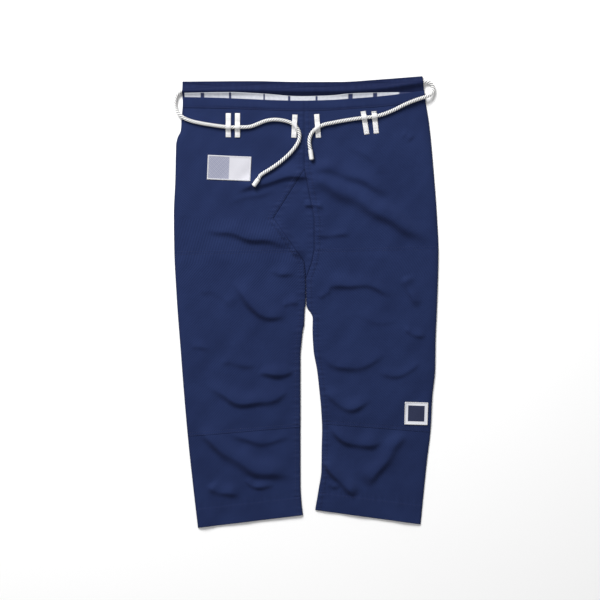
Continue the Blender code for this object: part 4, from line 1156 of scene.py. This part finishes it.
def makeLoop(name, side, x1, y1, x2, y2):
    # each lengthwise line of the strap lies flat on its feet, leaves them on a tangent to the
    # rope and follows the rope's round over it
    start, end = np.array((x1, y1)), np.array((x2, y2))
    length = np.linalg.norm(end - start)
    heading = (end - start) / length
    across = np.array((-heading[1], heading[0]))
    centre = ropes[side][1]
    offsets = np.array(strapLines) * mm
    edge = roundOver(offsets[-1] - np.abs(offsets) + 0.05 * mm, 0.9 * mm)
    count, radius = loopStrap["footPoints"], drawstring["radius"] + loopStrap["clear"]
    under, over = [], []
    for offset, thick in zip(offsets, edge):
        origin = start + across * offset
        fromLine = (centre[:, :2] - origin) @ across
        along = (centre[:, :2] - origin) @ heading
        near = (along > 0) & (along < length)
        k = int(np.argmin(np.where(near, np.abs(fromLine), 1.0)))
        tangent = centre[k + 1, :2] - centre[k - 1, :2]
        widen = np.linalg.norm(tangent) / abs(tangent @ across)
        probe = origin + np.outer(np.linspace(0, length, 14), heading)
        foot = float(clothTop(probe[:, 0], probe[:, 1]).max()) + loopStrap["gap"]
        drop = centre[k, 2] - foot
        lean = (math.atan2(drop, loopStrap["foot"])
                + math.asin(radius / math.hypot(loopStrap["foot"], drop)))
        turns = np.linspace(-lean, lean, loopStrap["turnPoints"])
        crossing = along[k]
        before = np.linspace(0, crossing - widen * loopStrap["foot"], count)
        after = np.linspace(crossing + widen * loopStrap["foot"], length, count)
        u = np.concatenate([before, crossing + widen * radius * np.sin(turns), after])
        z = np.concatenate([0 * before + foot, centre[k, 2] + radius * np.cos(turns),
                            0 * after + foot])
        slope = np.concatenate([0 * before, turns, 0 * after])
        slope[count - 1], slope[-count] = -lean / 2, lean / 2
        fromEnd = np.minimum(u, length - u)
        # the bar tack pulls each end down
        press = loopStrap["press"] * bell((fromEnd - 2.6 * mm) / (1.6 * mm))
        wall = loopStrap["wall"] * thick * roundOver(fromEnd + 0.1 * mm, 0.9 * mm) - press * thick
        wall = np.maximum(wall, loopStrap["thinnest"])
        low = origin + np.outer(u, heading)
        high = origin + np.outer(u + np.sin(slope) * wall, heading)
        under.append(np.column_stack([low, z]))
        over.append(np.column_stack([high, z + np.cos(slope) * wall]))
    under, over = np.stack(under, axis=1), np.stack(over, axis=1)
    run = np.linspace(0, 1, under.shape[0])[:, None] * length
    flat = gridOf(offsets[None, :], run)
    item = shell(name.replace("belt_loop", "beltLoop"), under, over, flat, "webbing")
    keep(item, name)
    return over


loopTops = [makeLoop(*row) for row in beltLoops]
print("scene: belt loops made")


# Labels

labelShape = dict(wall=1.0 * mm, gap=0.5 * mm, cell=1.6 * mm)
labels = dict(
    thigh_label=dict(x=-0.1660, y=0.2887, width=0.094, height=0.053, turn=-0.042,
                     extra=0.0, finish="label", on="front_leg_right", edge=3.0 * mm),
    shin_label=dict(x=0.2374, y=-0.2404, width=0.050, height=0.0485, turn=-0.03,
                    extra=1.5 * mm, finish="badge", on="knee_patch_left", edge=2.4 * mm))


def makeLabel(name):
    # woven patch that follows the cloth below; its edge is a raised band of close stitches
    label = labels[name]
    fine = ((-label["width"] / 2, 4 * mm, 0.5 * mm), (label["width"] / 2, 4 * mm, 0.5 * mm))
    u = spaced(-label["width"] / 2, label["width"] / 2, labelShape["cell"], fine)[None, :]
    fine = ((label["height"] / 2, 4 * mm, 0.5 * mm), (-label["height"] / 2, 4 * mm, 0.5 * mm))
    v = spaced(label["height"] / 2, -label["height"] / 2, labelShape["cell"], fine)[:, None]
    turn = label["turn"]
    x = label["x"] + u * math.cos(turn) - v * math.sin(turn)
    y = label["y"] + u * math.sin(turn) + v * math.cos(turn)
    edge = np.minimum(label["width"] / 2 - np.abs(u), label["height"] / 2 - np.abs(v))
    under = clothTop(x, y, label["extra"]) + labelShape["gap"]
    border = 0.35 * mm * bell((edge - label["edge"] / 2) / (label["edge"] / 2.4))
    fold = roundOver(edge + 0.05 * mm, 0.9 * mm)
    over = under + labelShape["wall"] * (0.35 + 0.65 * fold) * 0.8 + border
    flat = gridOf(u, v)
    item = shell(name.replace("_l", "L"), gridOf(x, y, under), gridOf(x, y, over), flat,
                 label["finish"])
    keep(item, name)
    grids[name] = (v[:, 0], gridOf(x, y, over))


makeLabel("thigh_label")
makeLabel("shin_label")
print("scene: labels made")


# Stitches

thread = dict(pitch=4.2 * mm, length=3.1 * mm, half=0.30 * mm, lift=0.10 * mm, sunk=0.25 * mm)
tackRows = (8, 6)  # rows of a loop's foot that carry a bar tack


def makeStitches(name, lines, finish, pitch=thread["pitch"], length=thread["length"],
                 half=thread["half"], cross=False):
    # every stitch is a lozenge of four rings of four points, laid along its line or, for a
    # bar tack or overlocked edge, across it
    middles, headings = [], []
    for line in lines:
        run = runAlong(line)
        at = np.arange(pitch * 0.7, run[-1] - pitch * 0.5, pitch)
        spot = [pointsAt(at + way * length / 2, run, line) for way in (-1, 0, 1)]
        middles.append(spot[0] / 4 + spot[1] / 2 + spot[2] / 4)
        headings.append(spot[2] - spot[0])
    middle = np.concatenate(middles) + np.array((0, 0, thread["lift"]))
    heading = np.concatenate(headings)
    heading /= np.linalg.norm(heading, axis=1)[:, None]
    side, lift = crossways(heading)
    if cross:
        heading, side = side, -heading
    rings = []
    for place, size in ((-0.5, 0.35), (-0.2, 1.0), (0.2, 1.0), (0.5, 0.35)):
        for a, b in ((1, 0), (0, 1), (-1, 0), (0, -1)):
            rings.append(middle + heading * (place * length) + (side * a + lift * b) * half * size
                         - lift * (thread["sunk"] if abs(place) == 0.5 else 0.0))
    points = np.stack(rings, axis=1)
    one = np.concatenate([gridQuads(4, 4, closeColumns=True), [[3, 2, 1, 0], [12, 13, 14, 15]]])
    if faceNormals(points[0], one[0]) @ (points[0][one[0]].mean(axis=0) - middle[0]) < 0:
        one = one[:, ::-1]
    quads = (one[None] + 16 * np.arange(len(points))[:, None, None]).reshape(-1, 4)
    points = points.reshape(-1, 3)
    item = putMesh(name, points, quads, points[:, :2], np.full(len(points), 0.5),
                   np.ones(len(quads), bool), finish)
    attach(item, "root")


def columnLine(key, distance, above=-1.0, below=1.0):
    # the line of a panel's mesh at a distance from its inner edge, between two heights
    rows, points = grids[key]
    k = int(np.argmin(np.abs(np.array(seamColumns) * mm - distance)))
    kept = (rows > above) & (rows < below)
    return points[kept, k]


def rowLine(key, height):
    # the line of a mesh at one height, without its last two points at each end
    rows, points = grids[key]
    k = int(np.argmin(np.abs(rows - height)))
    return points[k, 2:-2]


def sewSeams():
    # inseams, hems, the patches' ends and the waist
    lines = []
    for side in sides:
        # above the gusset only the left panel carries stitches
        top = level["gussetTop"] if side == "right" else 1.0
        for distance in relief["stitchLines"]:
            lines += [columnLine(f"panel_{side}", distance, level["patchTop"], top),
                      columnLine(f"patch_{side}", distance),
                      columnLine(f"panel_{side}", distance, -1.0, level["patchEnd"])]
        lines.append(rowLine(f"panel_{side}", level["hemTop"] - relief["hemLine"]))
        lines += [rowLine(f"patch_{side}", level[end] + way * line)
                  for end, way in (("patchTop", -1), ("patchEnd", 1))
                  for line in relief["patchLines"]]
    lines.append(rowLine("band", level["waist"] - band["stitchLine"]))
    makeStitches("seamStitches", lines, "navyThread")


def sewWhite():
    # bar tacks on the loops' feet, and the overlocked edge round each label
    foot = loopStrap["footPoints"]
    lines = [end[k, 1:-1] for over in loopTops for end in (over[:foot], over[-foot:])
             for k in tackRows]
    makeStitches("loopTacks", lines, "whiteThread", pitch=0.75 * mm,
                 length=2.2 * mm, half=0.35 * mm, cross=True)
    edges = []
    for name in labels:
        rows, points = grids[name]
        k = int(np.argmin(np.abs(rows[0] - rows - labels[name]["edge"] / 2)))
        edges += [points[k, k:-k], points[k:-k, -k - 1], points[-k - 1, -k:k:-1],
                  points[-k:k:-1, k]]
    makeStitches("labelEdges", edges, "whiteThread", pitch=0.95 * mm,
                 length=2.6 * mm, half=0.36 * mm, cross=True)


sewSeams()
sewWhite()
print("scene: stitches made")


# The run of the drawstring in the casing, hidden but for its ends

hiddenX = np.linspace(-0.2573, 0.2388, 14)
hiddenY = through(waistLine["back"], hiddenX) - through(casing["ropeDown"], hiddenX)
hiddenRun = makeRope("drawstringRun_back", gridOf(hiddenX, hiddenY, 5.6 * mm))[0]
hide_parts("drawstring_back")
for item, slot in ((hiddenRun, "white_rope"), (ropes["right"][0], "white_rope"),
                   (ropes["left"][0], "white_rope"), (tips["right"], "rope_whipping"),
                   (tips["left"], "rope_whipping")):
    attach(item, "root")


# Floor and light

studio = dict(floor="#F7F7F7", floorPale="#F8F8F8", floorHalf=6.0, floorTop=-0.4 * mm,
              fill=0.31, keyPower=162, keySize=1.7, keyPlace=(-1.2, 2.4, 2.1),
              softPower=20, softSize=3.0, softPlace=(0.8, -1.6, 3.0))


def makeFloor():
    half = studio["floorHalf"]
    corners = np.array([(-half, -half), (half, -half), (half, half), (-half, half)])
    points = gridOf(corners[:, 0], corners[:, 1], studio["floorTop"])
    # painted board, far larger than the view
    material, tree = startMaterial("paintedBoard", 0.9, 0.1)
    colour = blend(tree, fleck(tree, placeOn(tree), 0.35), studio["floor"], studio["floorPale"])
    finishes["floor"] = dress(material, colour)
    floor = putMesh("floor", points, np.array([[0, 1, 2, 3]]), corners, np.zeros(4),
                    np.zeros(1, bool), "floor")


def addLight(name, place, size, power):
    # round soft lamp, turned to face the middle of the trousers
    data = bpy.data.lights.new(name, "AREA")
    data.shape = "DISK"
    data.size = size
    data.energy = power
    light = bpy.data.objects.new(name, data)
    x, y, z = place
    light.location = place
    light.rotation_euler = (math.atan2(math.hypot(x, y), z), 0, math.atan2(y, x) + math.pi / 2)
    bpy.context.collection.objects.link(light)


def lightStudio():
    # even white sky, a key lamp beyond the waist on the wearer's right and a weak one opposite
    world = bpy.data.worlds.new("studio")
    world.use_nodes = True
    sky = world.node_tree.nodes["Background"]
    sky.inputs["Color"].default_value = (1, 1, 1, 1)
    sky.inputs["Strength"].default_value = studio["fill"]
    bpy.context.scene.world = world
    addLight("keyLight", studio["keyPlace"], studio["keySize"], studio["keyPower"])
    addLight("softLight", studio["softPlace"], studio["softSize"], studio["softPower"])
    bpy.context.scene.view_settings.view_transform = "Standard"


makeFloor()
lightStudio()
print("scene: floor and light made")
